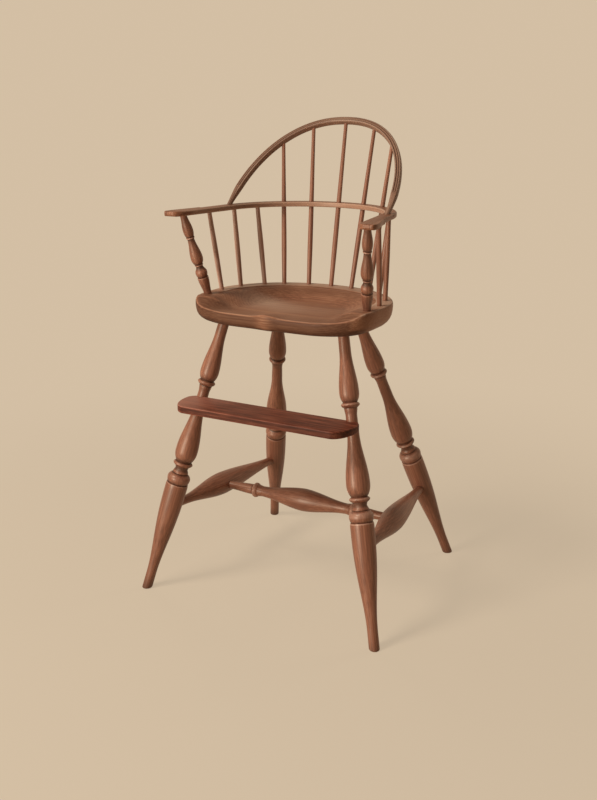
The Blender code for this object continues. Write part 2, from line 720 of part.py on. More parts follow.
def bow_point(angle):
    base, rise, half_width, height = bow_frame()
    radius = oval_radius(angle, half_width, height, BOW_POWER)
    return base + Vector((radius * math.cos(angle), 0, 0)) + rise * radius * math.sin(angle)


def bow_sections(first_tenon, growth):
    """Sections of the bow from its right end to its left, with the tenon's length and a growth all round."""
    base, rise, half_width, _ = bow_frame()
    normal = rise.cross(Vector((1, 0, 0)))
    path = [Vector((half_width, 0, 0)) + base - rise * first_tenon * (1 - step / BOW_TENON_STEPS)
            for step in range(BOW_TENON_STEPS)]
    path += [bow_point(math.pi * step / BOW_STEPS) for step in range(BOW_STEPS // 2 + 1)]
    travelled = -first_tenon
    sections = []
    for index, point in enumerate(path):
        before = path[max(index - 1, 0)]
        after = path[min(index + 1, len(path) - 1)]
        if index == len(path) - 1:
            tangent = Vector((-1, 0, 0))
        else:
            tangent = (after - before).normalized()
        outward = normal.cross(tangent).normalized() * -1
        if index:
            travelled += (point - before).length
        full = smoothstep(travelled / BOW_TAPER_LENGTH)
        square = chamfered_section(-BOW_WIDTH / 2 - growth, BOW_WIDTH / 2 + growth,
                                   -BOW_DEPTH / 2 - growth, BOW_DEPTH / 2 + growth, BOW_ROUND)
        section = []
        for across, up in square:
            round_scale = (BOW_END_RADIUS + growth) / math.hypot(across, up)
            scale = round_scale + (1 - round_scale) * full
            section.append(point + outward * across * scale + normal * up * scale)
        sections.append(section)
    left = [[mirrored(point, -1) for point in section] for section in sections[:-1]]
    return sections + left[::-1]


def make_bow(rail):
    bow = add_piece("bow", loft(bow_sections(BOW_TENON_LENGTH, 0.0)), BENT_WOOD)
    ends = bow_sections(BOW_TENON_LENGTH + CLEARANCE, CLEARANCE)
    cut(rail, "bow_sockets", [loft(ends[:BOW_SOCKET_STEPS]), loft(ends[-BOW_SOCKET_STEPS:])])
    _, rise, *_ = bow_frame()
    for side, hand in ((-1, "left"), (1, "right")):
        foot = mirrored(rail_arm_point(-BOW_END_BACK, RAIL_TOP), side)
        middle = foot - rise * PIN_DEPTH
        inward = mirrored(Vector((-math.cos(RAIL_FLARE), -math.sin(RAIL_FLARE), 0)), side)
        outside = middle - inward * (RAIL_WIDTH / 2 - CLEARANCE)
        matrix = axis_matrix(outside, middle)
        pin = [(0.0, PIN_RADIUS), (PIN_LENGTH, PIN_RADIUS)]
        add_piece("bow_pin_" + hand, turn(pin, SPINDLE_SIDES), TURNED_WOOD, matrix)
        for host, label in ((rail, "rail"), (bow, "bow")):
            hole = socket(pin, -RAIL_WIDTH / 4, PIN_LENGTH + CLEARANCE, matrix, SPINDLE_SIDES)
            cut(host, f"{hand}_pin_hole_{label}", [hole])
    return bow


# Arm posts

def post_line(side):
    depth_share = POST_FORWARD / (SEAT_FRONT_DEPTH - POST_EDGE_INSET)
    rim_x = (1 - depth_share ** SEAT_FRONT_POWER) ** (1 / SEAT_FRONT_POWER)
    foot = Vector(((SEAT_HALF_WIDTH - POST_EDGE_INSET) * rim_x, POST_Y, SEAT_TOP))
    head = rail_arm_point(POST_RAIL_FORWARD, RAIL_UNDER)
    return mirrored(foot, side), mirrored(head, side)


def post_profile(length):
    turned_runs = [
        (POST_FOOT_TENON_LENGTH, POST_FOOT_RADIUS, 1),
        (POST_TAPER_LENGTH, POST_TAPER_RADIUS, 3),
        (POST_SCRIBE_LENGTH, POST_SCRIBE_RADIUS, 1),
        (POST_BALL_LENGTH, POST_BALL_RADIUS, 3),
        (POST_QUIRK_LENGTH, POST_QUIRK_RADIUS, 2),
        (POST_VASE_LENGTH, POST_VASE_RADIUS, 3),
        (POST_NECK_LENGTH, POST_NECK_RADIUS, 4),
        (POST_BEAD_WIDTH / 2, POST_BEAD_RADIUS, 1),
        (POST_BEAD_WIDTH / 2, POST_NECK_RADIUS, 1),
        (POST_UPPER_VASE_LENGTH, POST_UPPER_VASE_RADIUS, 2),
    ]
    head_length = length + POST_FOOT_TENON_LENGTH - sum(run[0] for run in turned_runs)
    turned_runs.append((head_length, POST_TOP_RADIUS, 3))
    profile = eased_profile(-POST_FOOT_TENON_LENGTH, POST_FOOT_TENON_RADIUS, turned_runs)
    profile.append((length + POST_HEAD_TENON_LENGTH, POST_HEAD_TENON_RADIUS))
    return profile


def make_posts():
    """Make both posts; return their sockets in the seat and in the rail."""
    seat_sockets = []
    rail_sockets = []
    for side, hand in ((-1, "left"), (1, "right")):
        foot, head = post_line(side)
        length = (head - foot).length
        profile = post_profile(length)
        matrix = axis_matrix(foot, head)
        add_piece(hand + "_arm_post", turn(profile, TURNED_SIDES), TURNED_WOOD, matrix)
        low = profile[0][0] - CLEARANCE
        high = profile[-1][0] + CLEARANCE
        seat_sockets.append(socket(profile, low, POST_FOOT_RADIUS, matrix, TURNED_SIDES))
        rail_sockets.append(socket(profile, length - POST_TOP_RADIUS, high, matrix, TURNED_SIDES))
    return seat_sockets, rail_sockets


# Spindles

def short_spindle_line(index, side):
    """Lines of the front, middle and rear short spindles, numbered from the front."""
    foot = seat_point(SHORT_SEAT_FIRST + index * SHORT_SEAT_STEP, SPINDLE_EDGE_INSET, SEAT_TOP)
    if index == 0:
        head = rail_arm_point(FRONT_SPINDLE_FORWARD, RAIL_UNDER)
    else:
        head = rail_arc_point(SHORT_RAIL_FIRST + index * SHORT_RAIL_STEP, RAIL_UNDER)
    return mirrored(foot, side), mirrored(head, side)


def long_spindle_line(index, side):
    """Lines of the long spindles, numbered from the centre."""
    foot = seat_point(math.pi / 2 - index * LONG_SEAT_STEP, SPINDLE_EDGE_INSET, SEAT_TOP)
    head = bow_point(math.pi / 2 - index * LONG_BOW_STEP)
    return mirrored(foot, side), mirrored(head, side)


def spindle_profile(length, head_tenon, head_radius):
    runs = [
        (SPINDLE_SEAT_TENON, SPINDLE_FOOT_RADIUS, 1),
        (SPINDLE_SWELL_HEIGHT, SPINDLE_SWELL_RADIUS, SPINDLE_STEPS),
        (length - SPINDLE_SWELL_HEIGHT, head_radius, SPINDLE_STEPS),
        (head_tenon, head_radius, 1),
    ]
    return eased_profile(-SPINDLE_SEAT_TENON, SPINDLE_FOOT_RADIUS, runs)


def make_spindles():
    """Make every spindle; return the sockets for the seat, the rail and the bow."""
    seat_sockets = []
    rail_sockets = []
    bow_sockets = []
    for side, hand in ((-1, "left"), (1, "right")):
        for index, place in enumerate(("front", "middle", "rear")):
            foot, head = short_spindle_line(index, side)
            length = (head - foot).length
            profile = spindle_profile(length, SPINDLE_RAIL_TENON, SPINDLE_RAIL_RADIUS)
            matrix = axis_matrix(foot, head)
            add_piece(f"{hand}_{place}_spindle", turn(profile, SPINDLE_SIDES), TURNED_WOOD, matrix)
            low = profile[0][0] - CLEARANCE
            high = profile[-1][0] + CLEARANCE
            seat_sockets.append(socket(profile, low, SPINDLE_FOOT_RADIUS, matrix, SPINDLE_SIDES))
            rail_sockets.append(socket(profile, length - SPINDLE_RAIL_RADIUS, high, matrix, SPINDLE_SIDES))
    long_spindles = ((0, 1, "centre"), (1, -1, "left_inner"), (2, -1, "left_outer"),
                     (1, 1, "right_inner"), (2, 1, "right_outer"))
    for index, side, place in long_spindles:
        foot, head = long_spindle_line(index, side)
        length = (head - foot).length
        profile = spindle_profile(length, SPINDLE_BOW_TENON, SPINDLE_BOW_RADIUS)
        matrix = axis_matrix(foot, head)
        add_piece(place + "_long_spindle", turn(profile, SPINDLE_SIDES), TURNED_WOOD, matrix)
        low = profile[0][0] - CLEARANCE
        high = profile[-1][0] + CLEARANCE
        per_height = length / (head.z - foot.z)
        crossing = (RAIL_MIDDLE - SEAT_TOP) * per_height
        seat_sockets.append(socket(profile, low, SPINDLE_FOOT_RADIUS, matrix, SPINDLE_SIDES))
        rail_sockets.append(socket(profile, crossing - RAIL_THICKNESS, crossing + RAIL_THICKNESS,
                                   matrix, SPINDLE_SIDES))
        bow_sockets.append(socket(profile, length - BOW_WIDTH, high, matrix, SPINDLE_SIDES))
    return seat_sockets, rail_sockets, bow_sockets


# Assembly

for old in list(bpy.data.objects):
    bpy.data.objects.remove(old)
CHAIR = bpy.data.objects.new("high_chair", None)
bpy.context.collection.objects.link(CHAIR)


def main():
    seat = make_seat()
    legs = {}
    leg_sockets = []
    for row in ("front", "rear"):
        for side, hand in ((-1, "left"), (1, "right")):
            top, foot = leg_line(row == "front", side)
            legs[row, side] = make_leg(f"{row}_{hand}_leg", top, foot)
            leg_sockets.append(socket(leg_profile(top, foot), -LEG_TENON_LENGTH - CLEARANCE,
                                      LEG_TOP_RADIUS, axis_matrix(top, foot), TURNED_SIDES))
    make_stretchers(legs)
    make_footrest(legs)
    rail = make_arm_rail()
    for side, hand in ((-1, "left"), (1, "right")):
        make_hand_block(hand, side)
    bow = make_bow(rail)
    post_seat_sockets, post_rail_sockets = make_posts()
    seat_sockets, rail_sockets, bow_sockets = make_spindles()
    cut(seat, "seat_sockets", leg_sockets + post_seat_sockets + seat_sockets)
    cut(rail, "rail_sockets", post_rail_sockets + rail_sockets)
    cut(bow, "bow_spindle_sockets", bow_sockets)


main()
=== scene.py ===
# %% [markdown]
# # Dressing a Windsor high chair
#
# The chair is a nursery piece in the Windsor manner: raked legs and arm posts turned on a lathe, a thick
# plank seat hollowed for the sitter, and an arm rail and a bow that were steamed and bent. The solids of
# every piece already stand in the frame that the first cell loads. They have few facets, so this lesson
# makes a fine version of each one on the same axis and in the same sockets, and gives it a stained,
# worn wood. The sizes below are the maker's own, in metres.

import math
import random
from contextlib import contextmanager

import bmesh
import bpy
import numpy as np
from mathutils import Matrix, Vector


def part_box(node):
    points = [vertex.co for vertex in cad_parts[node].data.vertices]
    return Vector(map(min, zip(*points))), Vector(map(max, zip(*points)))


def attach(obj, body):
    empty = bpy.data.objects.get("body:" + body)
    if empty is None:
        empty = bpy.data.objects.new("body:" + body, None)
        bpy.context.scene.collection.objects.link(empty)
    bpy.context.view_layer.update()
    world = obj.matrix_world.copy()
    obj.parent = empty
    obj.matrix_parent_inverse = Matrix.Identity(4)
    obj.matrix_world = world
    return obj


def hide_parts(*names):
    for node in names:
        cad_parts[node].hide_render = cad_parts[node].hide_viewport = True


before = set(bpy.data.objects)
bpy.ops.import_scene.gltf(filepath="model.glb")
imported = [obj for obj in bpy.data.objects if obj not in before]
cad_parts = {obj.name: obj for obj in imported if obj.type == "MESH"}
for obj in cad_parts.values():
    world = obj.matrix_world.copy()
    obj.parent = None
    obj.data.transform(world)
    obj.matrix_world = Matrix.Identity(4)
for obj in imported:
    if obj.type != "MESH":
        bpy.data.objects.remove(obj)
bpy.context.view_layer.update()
print("solids in the frame:", len(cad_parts))

# %% [markdown]
# ## One way to write nodes
#
# Materials and Geometry Nodes are both node trees. Wiring them by hand takes many lines, so a small class
# wraps a socket and lets ordinary sums add the Math nodes. A second class holds a tree. Its method `node`
# makes any node, from its settings and then the values or wires of its sockets.


# %% Wires and benches
class Wire:
    """An output socket that can be used in sums."""

    def __init__(self, bench, socket):
        self.bench = bench
        self.socket = socket

    def maths(self, operation, *terms):
        return self.bench.node("ShaderNodeMath", {"operation": operation}, dict(enumerate(terms)))

    def __add__(self, other):
        return self.maths("ADD", self, other)

    def __sub__(self, other):
        return self.maths("SUBTRACT", self, other)

    def __rsub__(self, other):
        return self.maths("SUBTRACT", other, self)

    def __mul__(self, other):
        return self.maths("MULTIPLY", self, other)

    def sine(self):
        return self.maths("SINE", self)

    def between(self, low, high):
        """0 below low, 1 above high, smooth between."""
        return self.bench.node("ShaderNodeMapRange", {"interpolation_type": "SMOOTHSTEP"},
                               {"Value": self, "From Min": low, "From Max": high})

    __radd__ = __add__
    __rmul__ = __mul__


class Bench:
    """A node tree to work on."""

    def __init__(self, tree):
        self.tree = tree
        tree.nodes.clear()

    def node(self, kind, settings=None, sockets=None, out=0):
        made = self.tree.nodes.new(kind)
        for name, value in (settings or {}).items():
            if name == "stops":
                ramp = made.color_ramp
                while len(ramp.elements) < len(value):
                    ramp.elements.new(1.0)
                for element, (place, colour) in zip(ramp.elements, value):
                    element.position = place
                    element.color = (*colour, 1.0)
            else:
                setattr(made, name, value)
        for name, value in (sockets or {}).items():
            if isinstance(value, Wire):
                self.tree.links.new(value.socket, made.inputs[name])
            else:
                made.inputs[name].default_value = value
        return Wire(self, made.outputs[out]) if made.outputs else made

    def vector_maths(self, operation, first, second, out=0):
        return self.node("ShaderNodeVectorMath", {"operation": operation}, {0: first, 1: second}, out)

    def mix(self, share, under, colour, blend="MIX"):
        """Lay a colour over another one."""
        settings = {"data_type": "RGBA", "blend_type": blend}
        return self.node("ShaderNodeMix", settings, {"Factor": share, 6: under, 7: (*colour, 1)}, 2)

    def stored(self, name, kind="FLOAT"):
        """Attribute that the script has put on the points."""
        return self.node("GeometryNodeInputNamedAttribute", {"data_type": kind}, {"Name": name})

    def hand_over(self, shape, wood):
        """End a shape's tree with real geometry that has its material."""
        shape = self.node("GeometryNodeRealizeInstances", None, {"Geometry": shape})
        shape = self.node("GeometryNodeSetMaterial", None, {"Geometry": shape, "Material": wood})
        self.node("NodeGroupOutput", None, {"Geometry": shape})


def bench_of(holder):
    """Bench with the nodes of a material or a world."""
    holder.use_nodes = True
    return Bench(holder.node_tree)


def shape_tree(name, **kinds):
    """Bench with a new Geometry Nodes tree, and a wire from each of its inputs."""
    bench = Bench(bpy.data.node_groups.new(name, "GeometryNodeTree"))
    for label, kind in kinds.items():
        bench.tree.interface.new_socket(label, in_out="INPUT", socket_type="NodeSocket" + kind)
    bench.tree.interface.new_socket("Geometry", in_out="OUTPUT", socket_type="NodeSocketGeometry")
    given = bench.tree.nodes.new("NodeGroupInput")
    return bench, [Wire(bench, given.outputs[index]) for index in range(len(kinds))]


print("bench ready")

# %% [markdown]
# ## The stained wood
#
# All pieces have the same red-brown stain and a thin, rubbed varnish. What differs is how each was cut, so
# every piece carries two attributes that the material reads:
#
# - `grain`: where a point lies in its log, in metres, with the third axis along the fibres. A turned leg's
#   fibres run down its axis, and a bent bow's run round the bend, so Object coordinates alone can't do it.
# - `tone`: above 0 where hands and cloths have rubbed the stain thin, on collars and arrises, and below 0
#   where dirt and old polish have gathered, in quirks and scribed lines. It also carries painted light and
#   painted shade: pale patches, and faces, hollows and undersides darkened where shade falls.
#
# Growth rings come from the distance to the log's middle, bent a little by noise. Fibres, pores and streaks
# are noise that is stretched a long way along the third axis.

# %% Wood finish
RING_SPACING = 0.0034
RING_WAVER = 9.0
# How fine a figure is across and along the fibres, and its detail
FIBRE = (520.0, 5.0, 3.0)
PORE = (1300.0, 28.0, 1.0)
BLOTCH = (16.0, 5.0, 2.0)
STREAK = (300.0, 4.0, 2.0)
BOARD_STREAK = (190.0, 13.0, 2.0)
BLOTCH_SHARE = 0.55
PORE_SHARE = 0.45
DIRT_AND_SHADE_SHARE = 0.9
STAIN_DARK = (0.105, 0.034, 0.018)
STAIN_MIDDLE = (0.250, 0.094, 0.047)
STAIN_LIGHT = (0.420, 0.198, 0.106)
STAIN_STOPS = ((0.12, STAIN_DARK), (0.50, STAIN_MIDDLE), (0.92, STAIN_LIGHT))
# Worn stain, also laid on as painted light
STAIN_WORN_AND_LIT = (0.560, 0.334, 0.218)
# Colour multiplied in for dirt and for painted shade
DIRT_AND_SHADE = (0.20, 0.17, 0.16)
VARNISH = (1.0, 0.86, 0.66)


def stretched_noise(bench, grain, across, along, detail):
    placed = bench.node("ShaderNodeMapping", {"vector_type": "POINT"},
                        {"Vector": grain, "Scale": (across, across, along)})
    return bench.node("ShaderNodeTexNoise", None,
                      {"Vector": placed, "Scale": 1.0, "Detail": detail, "Roughness": 0.6})


def wood_finish(name, ring_share, fibre_share, streak_share, roughness, shine, tint, streaks=STREAK):
    """Stained wood whose rings, fibres and streaks show in the given shares, with a tint over the stain."""
    material = bpy.data.materials.new(name)
    bench = bench_of(material)
    grain = bench.node("ShaderNodeAttribute", {"attribute_name": "grain"}, out="Vector")
    tone = bench.node("ShaderNodeAttribute", {"attribute_name": "tone"}, out="Fac")

    fibre = stretched_noise(bench, grain, *FIBRE)
    pore = stretched_noise(bench, grain, *PORE).between(0.60, 0.74)
    blotch = stretched_noise(bench, grain, *BLOTCH)
    streak = stretched_noise(bench, grain, *streaks)
    flat = bench.vector_maths("MULTIPLY", grain, (1.0, 1.0, 0.0))
    from_middle = bench.vector_maths("LENGTH", flat, (0.0, 0.0, 0.0), out="Value")
    ring = (from_middle * (math.tau / RING_SPACING) + blotch * RING_WAVER).sine()

    figure = 0.5 + fibre_share * (fibre - 0.5) + ring_share * ring + BLOTCH_SHARE * (blotch - 0.5)
    figure = figure + streak_share * (streak - 0.5)
    # Above 0 the tone mixes in worn stain and painted light, below 0 dirt and painted shade
    wear_and_light = tone.between(0.05, 0.95) * (0.45 + 0.8 * fibre)
    dirt_and_shade = (0.0 - tone).between(0.05, 1.0) * DIRT_AND_SHADE_SHARE
    stain = bench.node("ShaderNodeValToRGB", {"stops": STAIN_STOPS}, {"Fac": figure})
    stain = bench.mix(pore * PORE_SHARE, stain, STAIN_DARK)
    stain = bench.mix(wear_and_light, stain, STAIN_WORN_AND_LIT)
    stain = bench.mix(dirt_and_shade, stain, DIRT_AND_SHADE, "MULTIPLY")
    stain = bench.mix(1.0, stain, tint, "MULTIPLY")

    relief = fibre * 0.6 - pore * 0.7
    bump = bench.node("ShaderNodeBump", None, {"Strength": 0.20, "Distance": 0.0002, "Height": relief})
    gloss = roughness + 0.16 * (fibre - 0.5) + 0.10 * pore + 0.14 * dirt_and_shade - 0.05 * wear_and_light
    shader = bench.node("ShaderNodeBsdfPrincipled", None, {
        "Base Color": stain, "Roughness": gloss, "Normal": bump, "Specular IOR Level": shine,
        "Specular Tint": (*VARNISH, 1), "Coat Weight": 0.03, "Coat Roughness": 0.30})
    bench.node("ShaderNodeOutputMaterial", None, {"Surface": shader})
    return material


# Shares of rings, fibres and streaks, then roughness, shine and tint
FINISHES = {
    "turned_wood": wood_finish("turned_maple_stained", 0.04, 0.60, 0.75, 0.42, 0.55, (0.88, 0.82, 0.86)),
    "plank_wood": wood_finish("plank_pine_stained", 0.055, 0.80, 0.35, 0.50, 0.15, (1.14, 1.26, 1.30)),
    "board": wood_finish("board_oak_stained", 0.05, 1.00, 2.10, 0.52, 0.20, (0.62, 0.40, 0.39), BOARD_STREAK),
    "bent_wood": wood_finish("bent_hickory_stained", 0.05, 0.75, 0.70, 0.47, 0.35, (0.84, 0.82, 0.80)),
    "bow": wood_finish("bow_ash_stained", 0.05, 0.75, 0.70, 0.47, 0.35, (0.86, 1.12, 1.34)),
}
print("finishes:", ", ".join(material.name for material in FINISHES.values()))

# %% [markdown]
# ## From a mesh to a piece of the chair
#
# Each piece ends the same way. Its sockets are bored with a Boolean, its normals are turned outwards, its
# attributes are worked out from where its points lie, and it is tied to the frame: it rides on the chair's
# one body and stands for its plain solid. Every piece is cut from another place in the log, so no two
# share a figure.

# %% Shop tools
SHARP = math.radians(38)
NO_AREA = 1e-6
ON_PLANE = 1e-7
LOG_SPREAD = 0.02
LOG_LENGTH = 9.0
log_places = random.Random(11)
pieces = []


def smooth(value):
    """0 below 0, 1 above 1, and a soft slope between."""
    value = np.clip(value, 0.0, 1.0)
    return value * value * (3 - 2 * value)


def hump(value, reach):
    """1 at 0, falling away on both sides."""
    return np.exp(-(value / reach) ** 2)


def linked(name, data):
    item = bpy.data.objects.new(name, data)
    bpy.context.scene.collection.objects.link(item)
    return item


def new_item(name, points, faces=(), edges=()):
    mesh = bpy.data.meshes.new(name)
    mesh.from_pydata([tuple(point) for point in points], list(edges), list(faces))
    return linked(name, mesh)


def path_item(name, points):
    """Points joined one after another."""
    return new_item(name, points, edges=[(index, index + 1) for index in range(len(points) - 1)])


def stacked(name, rings):
    """Closed mesh from a stack of rings, the lowest first, each with as many points."""
    count = len(rings[0])
    last = count * (len(rings) - 1)
    faces = [tuple(reversed(range(count)))]
    for base in range(0, last, count):
        for index in range(count):
            after = (index + 1) % count
            faces.append((base + index, base + after, base + count + after, base + count + index))
    faces.append(tuple(range(last, last + count)))
    return new_item(name, np.concatenate(rings), faces)


def store(item, name, values, kind="FLOAT"):
    """Put an attribute on the points of a mesh."""
    item.data.attributes.new(name, kind, "POINT")
    field = "vector" if kind == "FLOAT_VECTOR" else "value"
    item.data.attributes[name].data.foreach_set(field, np.array(values, np.float32).ravel())


def applied(item):
    """Turn what the modifiers make into a plain mesh, and take the modifiers off."""
    graph = bpy.context.evaluated_depsgraph_get()
    mesh = bpy.data.meshes.new_from_object(item.evaluated_get(graph))
    item.modifiers.clear()
    old = item.data
    item.data = mesh
    bpy.data.meshes.remove(old)


@contextmanager
def reshaping(item):
    """Open a piece's mesh for a change, and put it back."""
    body = bmesh.new()
    body.from_mesh(item.data)
    yield body
    body.to_mesh(item.data)
    body.free()


def facing_out(item):
    with reshaping(item) as body:
        bmesh.ops.recalc_face_normals(body, faces=body.faces)


def saw(body, place, normal, **options):
    """Cut an open mesh along a plane."""
    return bmesh.ops.bisect_plane(body, geom=[*body.verts, *body.edges, *body.faces], dist=ON_PLANE,
                                  plane_co=place, plane_no=normal, **options)


def run_tree(item, bench, **values):
    """Let a Geometry Nodes tree make an item's mesh."""
    modifier = item.modifiers.new(bench.tree.name, "NODES")
    modifier.node_group = bench.tree
    for socket in bench.tree.interface.items_tree:
        if socket.in_out == "INPUT" and socket.name in values:
            modifier[socket.identifier] = values[socket.name]
    applied(item)
    facing_out(item)
    return item


def bore(item, cutters):
    """Take the cutters out of a piece."""
    borers = new_item("borers", ())
    with reshaping(borers) as joined:
        for cutter in cutters:
            joined.from_mesh(cutter.data)
            bpy.data.objects.remove(cutter)
    modifier = item.modifiers.new("sockets", "BOOLEAN")
    modifier.operation = "DIFFERENCE"
    modifier.solver = "EXACT"
    modifier.object = borers
    applied(item)
    bpy.data.objects.remove(borers)
    with reshaping(item) as body:
        bmesh.ops.dissolve_degenerate(body, dist=NO_AREA, edges=body.edges)


def dress(item, node, slot, to_log, tone, finish=None):
    """Finish a piece and let it stand for a node of the frame."""
    facing_out(item)
    mesh = item.data
    for attribute in list(mesh.attributes):
        if not attribute.is_internal and not attribute.is_required:
            mesh.attributes.remove(attribute)
    mesh.shade_smooth()
    mesh.set_sharp_from_angle(angle=SHARP)
    flat = np.empty(len(mesh.vertices) * 3, np.float32)
    mesh.vertices.foreach_get("co", flat)
    points = flat.reshape(-1, 3).astype(float)
    log = to_log(points)
    across = [log_places.uniform(-LOG_SPREAD, LOG_SPREAD) for _ in range(2)]
    store(item, "grain", log + (*across, log_places.uniform(0.0, LOG_LENGTH)), "FLOAT_VECTOR")
    store(item, "tone", np.clip(tone(points, log), -1, 1))
    mesh.materials.clear()
    mesh.materials.append(FINISHES[finish or slot])
    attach(item, "root")
    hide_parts(node)
    low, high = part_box(node)
    off = max(np.abs(points.min(0) - low).max(), np.abs(points.max(0) - high).max())
    pieces.append(item)
    print(f"{item.name}: {len(mesh.polygons)} faces, {off * 1000:.1f} mm from the solid's box")


# %% [markdown]
# ## The lathe
#
# A turned piece is a rule: an outline spun about an axis. In Geometry Nodes that is a curve along the axis,
# a circle swept along it, and a scale for each point of the curve. The script draws the outline, as a
# turner would, one cut after another, and stores the radius on the points of the axis. The tree does the
# rest, and serves for legs, stretchers, posts, spindles and pins, and also for the borers of their sockets.

# %% Geometry Nodes: turned work
lathe, (axis, sides, growth, wood) = shape_tree(
    "lathe", Geometry="Geometry", Sides="Int", Growth="Float", Wood="Material")
path = lathe.node("GeometryNodeMeshToCurve", None, {"Mesh": axis})
circle = lathe.node("GeometryNodeCurvePrimitiveCircle", None, {"Resolution": sides, "Radius": 1.0})
radius = lathe.stored("turned_radius") + growth
spun = lathe.node("GeometryNodeCurveToMesh", None,
                  {"Curve": path, "Profile Curve": circle, "Scale": radius, "Fill Caps": True})
lathe.hand_over(spun, wood)
print("lathe nodes:", len(lathe.tree.nodes))


# %% Outlines, one cut after another
CUT_STEP = 0.0012
BEAD_STEPS = 12
BALL_STEPS = 14
COLLAR_STEPS = 20
COLLAR_CREST = 0.45
COLLAR_BLUNTNESS = 0.8
COLLAR_FALL = 0.3
CLEARANCE = 0.0003
BORER_SIDES = 40


class Turning:
    """Outline of a turned piece as (distance along the axis, radius) points."""

    def __init__(self, start, radius):
        self.points = [(start, radius)]
        self.marks = []

    @property
    def start(self):
        return self.points[0][0]

    @property
    def end(self):
        return self.points[-1][0]

    def follow(self, length, rule, steps=None):
        """Cut a stretch whose radius follows a rule of the share of its length."""
        base, radius = self.points[-1]
        steps = steps or max(4, round(length / CUT_STEP))
        for step in range(1, steps + 1):
            share = step / steps
            self.points.append((base + length * share, rule(share, radius)))
        return self

    def level(self, length, steps=4):
        """Plain cylinder."""
        return self.follow(length, lambda share, base: base, steps)

    def ease(self, length, end, straight=0.0, slim=1.0, steps=None):
        """Swell or hollow, smooth at both ends, or straight by a share, or slim near its start."""
        def rule(share, base):
            curve = ((1 - math.cos(math.pi * share)) / 2) ** slim
            return base + (end - base) * (straight * share + (1 - straight) * curve)

        return self.follow(length, rule, steps)

    def bead(self, width, crest):
        """Half-round ring."""
        def rule(share, base):
            return base + (crest - base) * math.sqrt(max(0.0, 1 - (2 * share - 1) ** 2))

        return self.follow(width, rule, BEAD_STEPS)

    def collar(self, width, crest, end):
        """Ring with a blunt crest nearer its start."""
        def rule(share, base):
            if share < COLLAR_CREST:
                rise = math.sin(math.pi / 2 * share / COLLAR_CREST) ** COLLAR_BLUNTNESS
                return base + (crest - base) * rise
            fall = (share - COLLAR_CREST) / (1 - COLLAR_CREST)
            return crest + (end - crest) * (COLLAR_FALL * fall + (1 - COLLAR_FALL) * fall * fall)

        return self.follow(width, rule, COLLAR_STEPS)

    def scribe(self, width, depth):
        """Fine line cut with the corner of a chisel."""
        return self.follow(width, lambda share, base: base - depth * (1 - abs(2 * share - 1)), 4)

    def ball(self, length, end):
        """Rise to a crest, or fall from one, along the arc of a ball."""
        def rule(share, base):
            crest, foot = max(base, end) ** 2, min(base, end) ** 2
            return math.sqrt(crest - (crest - foot) * (share if end < base else 1 - share) ** 2)

        return self.follow(length, rule, BALL_STEPS)

    def mark(self, back):
        """Note a ring that stands out pale, a little way back along the outline."""
        self.marks.append(self.end - back)
        return self

    def mirrored(self):
        """Carry the outline on as its own mirror image."""
        middle = self.end
        self.points += [(2 * middle - distance, radius) for distance, radius in self.points[-2::-1]]
        return self

    def radius(self, distance):
        return float(np.interp(distance, *zip(*self.points)))


def along(start, end):
    """Frame at start whose third axis points at end."""
    turned = (end - start).to_track_quat("Z", "Y").to_matrix().to_4x4()
    return Matrix.Translation(start) @ turned


def spin(name, turning, matrix, sides, low=None, high=None, growth=0.0):
    """Run the lathe over an outline, or over a stretch of it."""
    stations = turning.points
    if low is not None:
        inner = [point for point in stations if low < point[0] < high]
        stations = [(low, turning.radius(low)), *inner, (high, turning.radius(high))]
    item = path_item(name, [matrix @ Vector((0, 0, distance)) for distance, _ in stations])
    store(item, "turned_radius", [radius for _, radius in stations])
    return run_tree(item, lathe, Sides=sides, Growth=growth, Wood=FINISHES["turned_wood"])


def borer(turning, matrix, low=None, high=None, sides=BORER_SIDES):
    """A turned piece, or a stretch of it, grown by the clearance, to bore its socket with."""
    return spin("borer", turning, matrix, sides, low, high, CLEARANCE)


print("finest cut:", CUT_STEP * 1000, "mm")

# %% [markdown]
# ## Where rubbing, dirt and painted shade go on turned work
#
# A cloth rubs what stands proud and misses what lies deep. Comparing the outline with a smoothed copy of
# itself finds both: crests come out above 0 and quirks below it. A broader smoothing paints shade into
# necks and coves and paints light on the swells. Faces that look down get painted shade on upright pieces.

# %% Tone of turned work
TONE_STEP = 0.00025
# Reach along the axis, and the height that counts as fully proud, for fine and for broad forms; the broad
# reach paints shade into necks and coves and light onto swells
WEAR_AND_SHADE_REACHES = ((0.0035, 0.0019), (0.0120, 0.0052))
PROUDEST = 0.42
DEEPEST = 0.62
# Painted shade on faces that look down, and the slope at which it is full
UNDER_SHADE = 0.50
UNDER_SHADE_SLOPE = 0.8
RING_TONE = 1.0
RING_REACH = 0.0008
SKIN = 0.0004
PITH = (0.034, 0.017, 0.0)


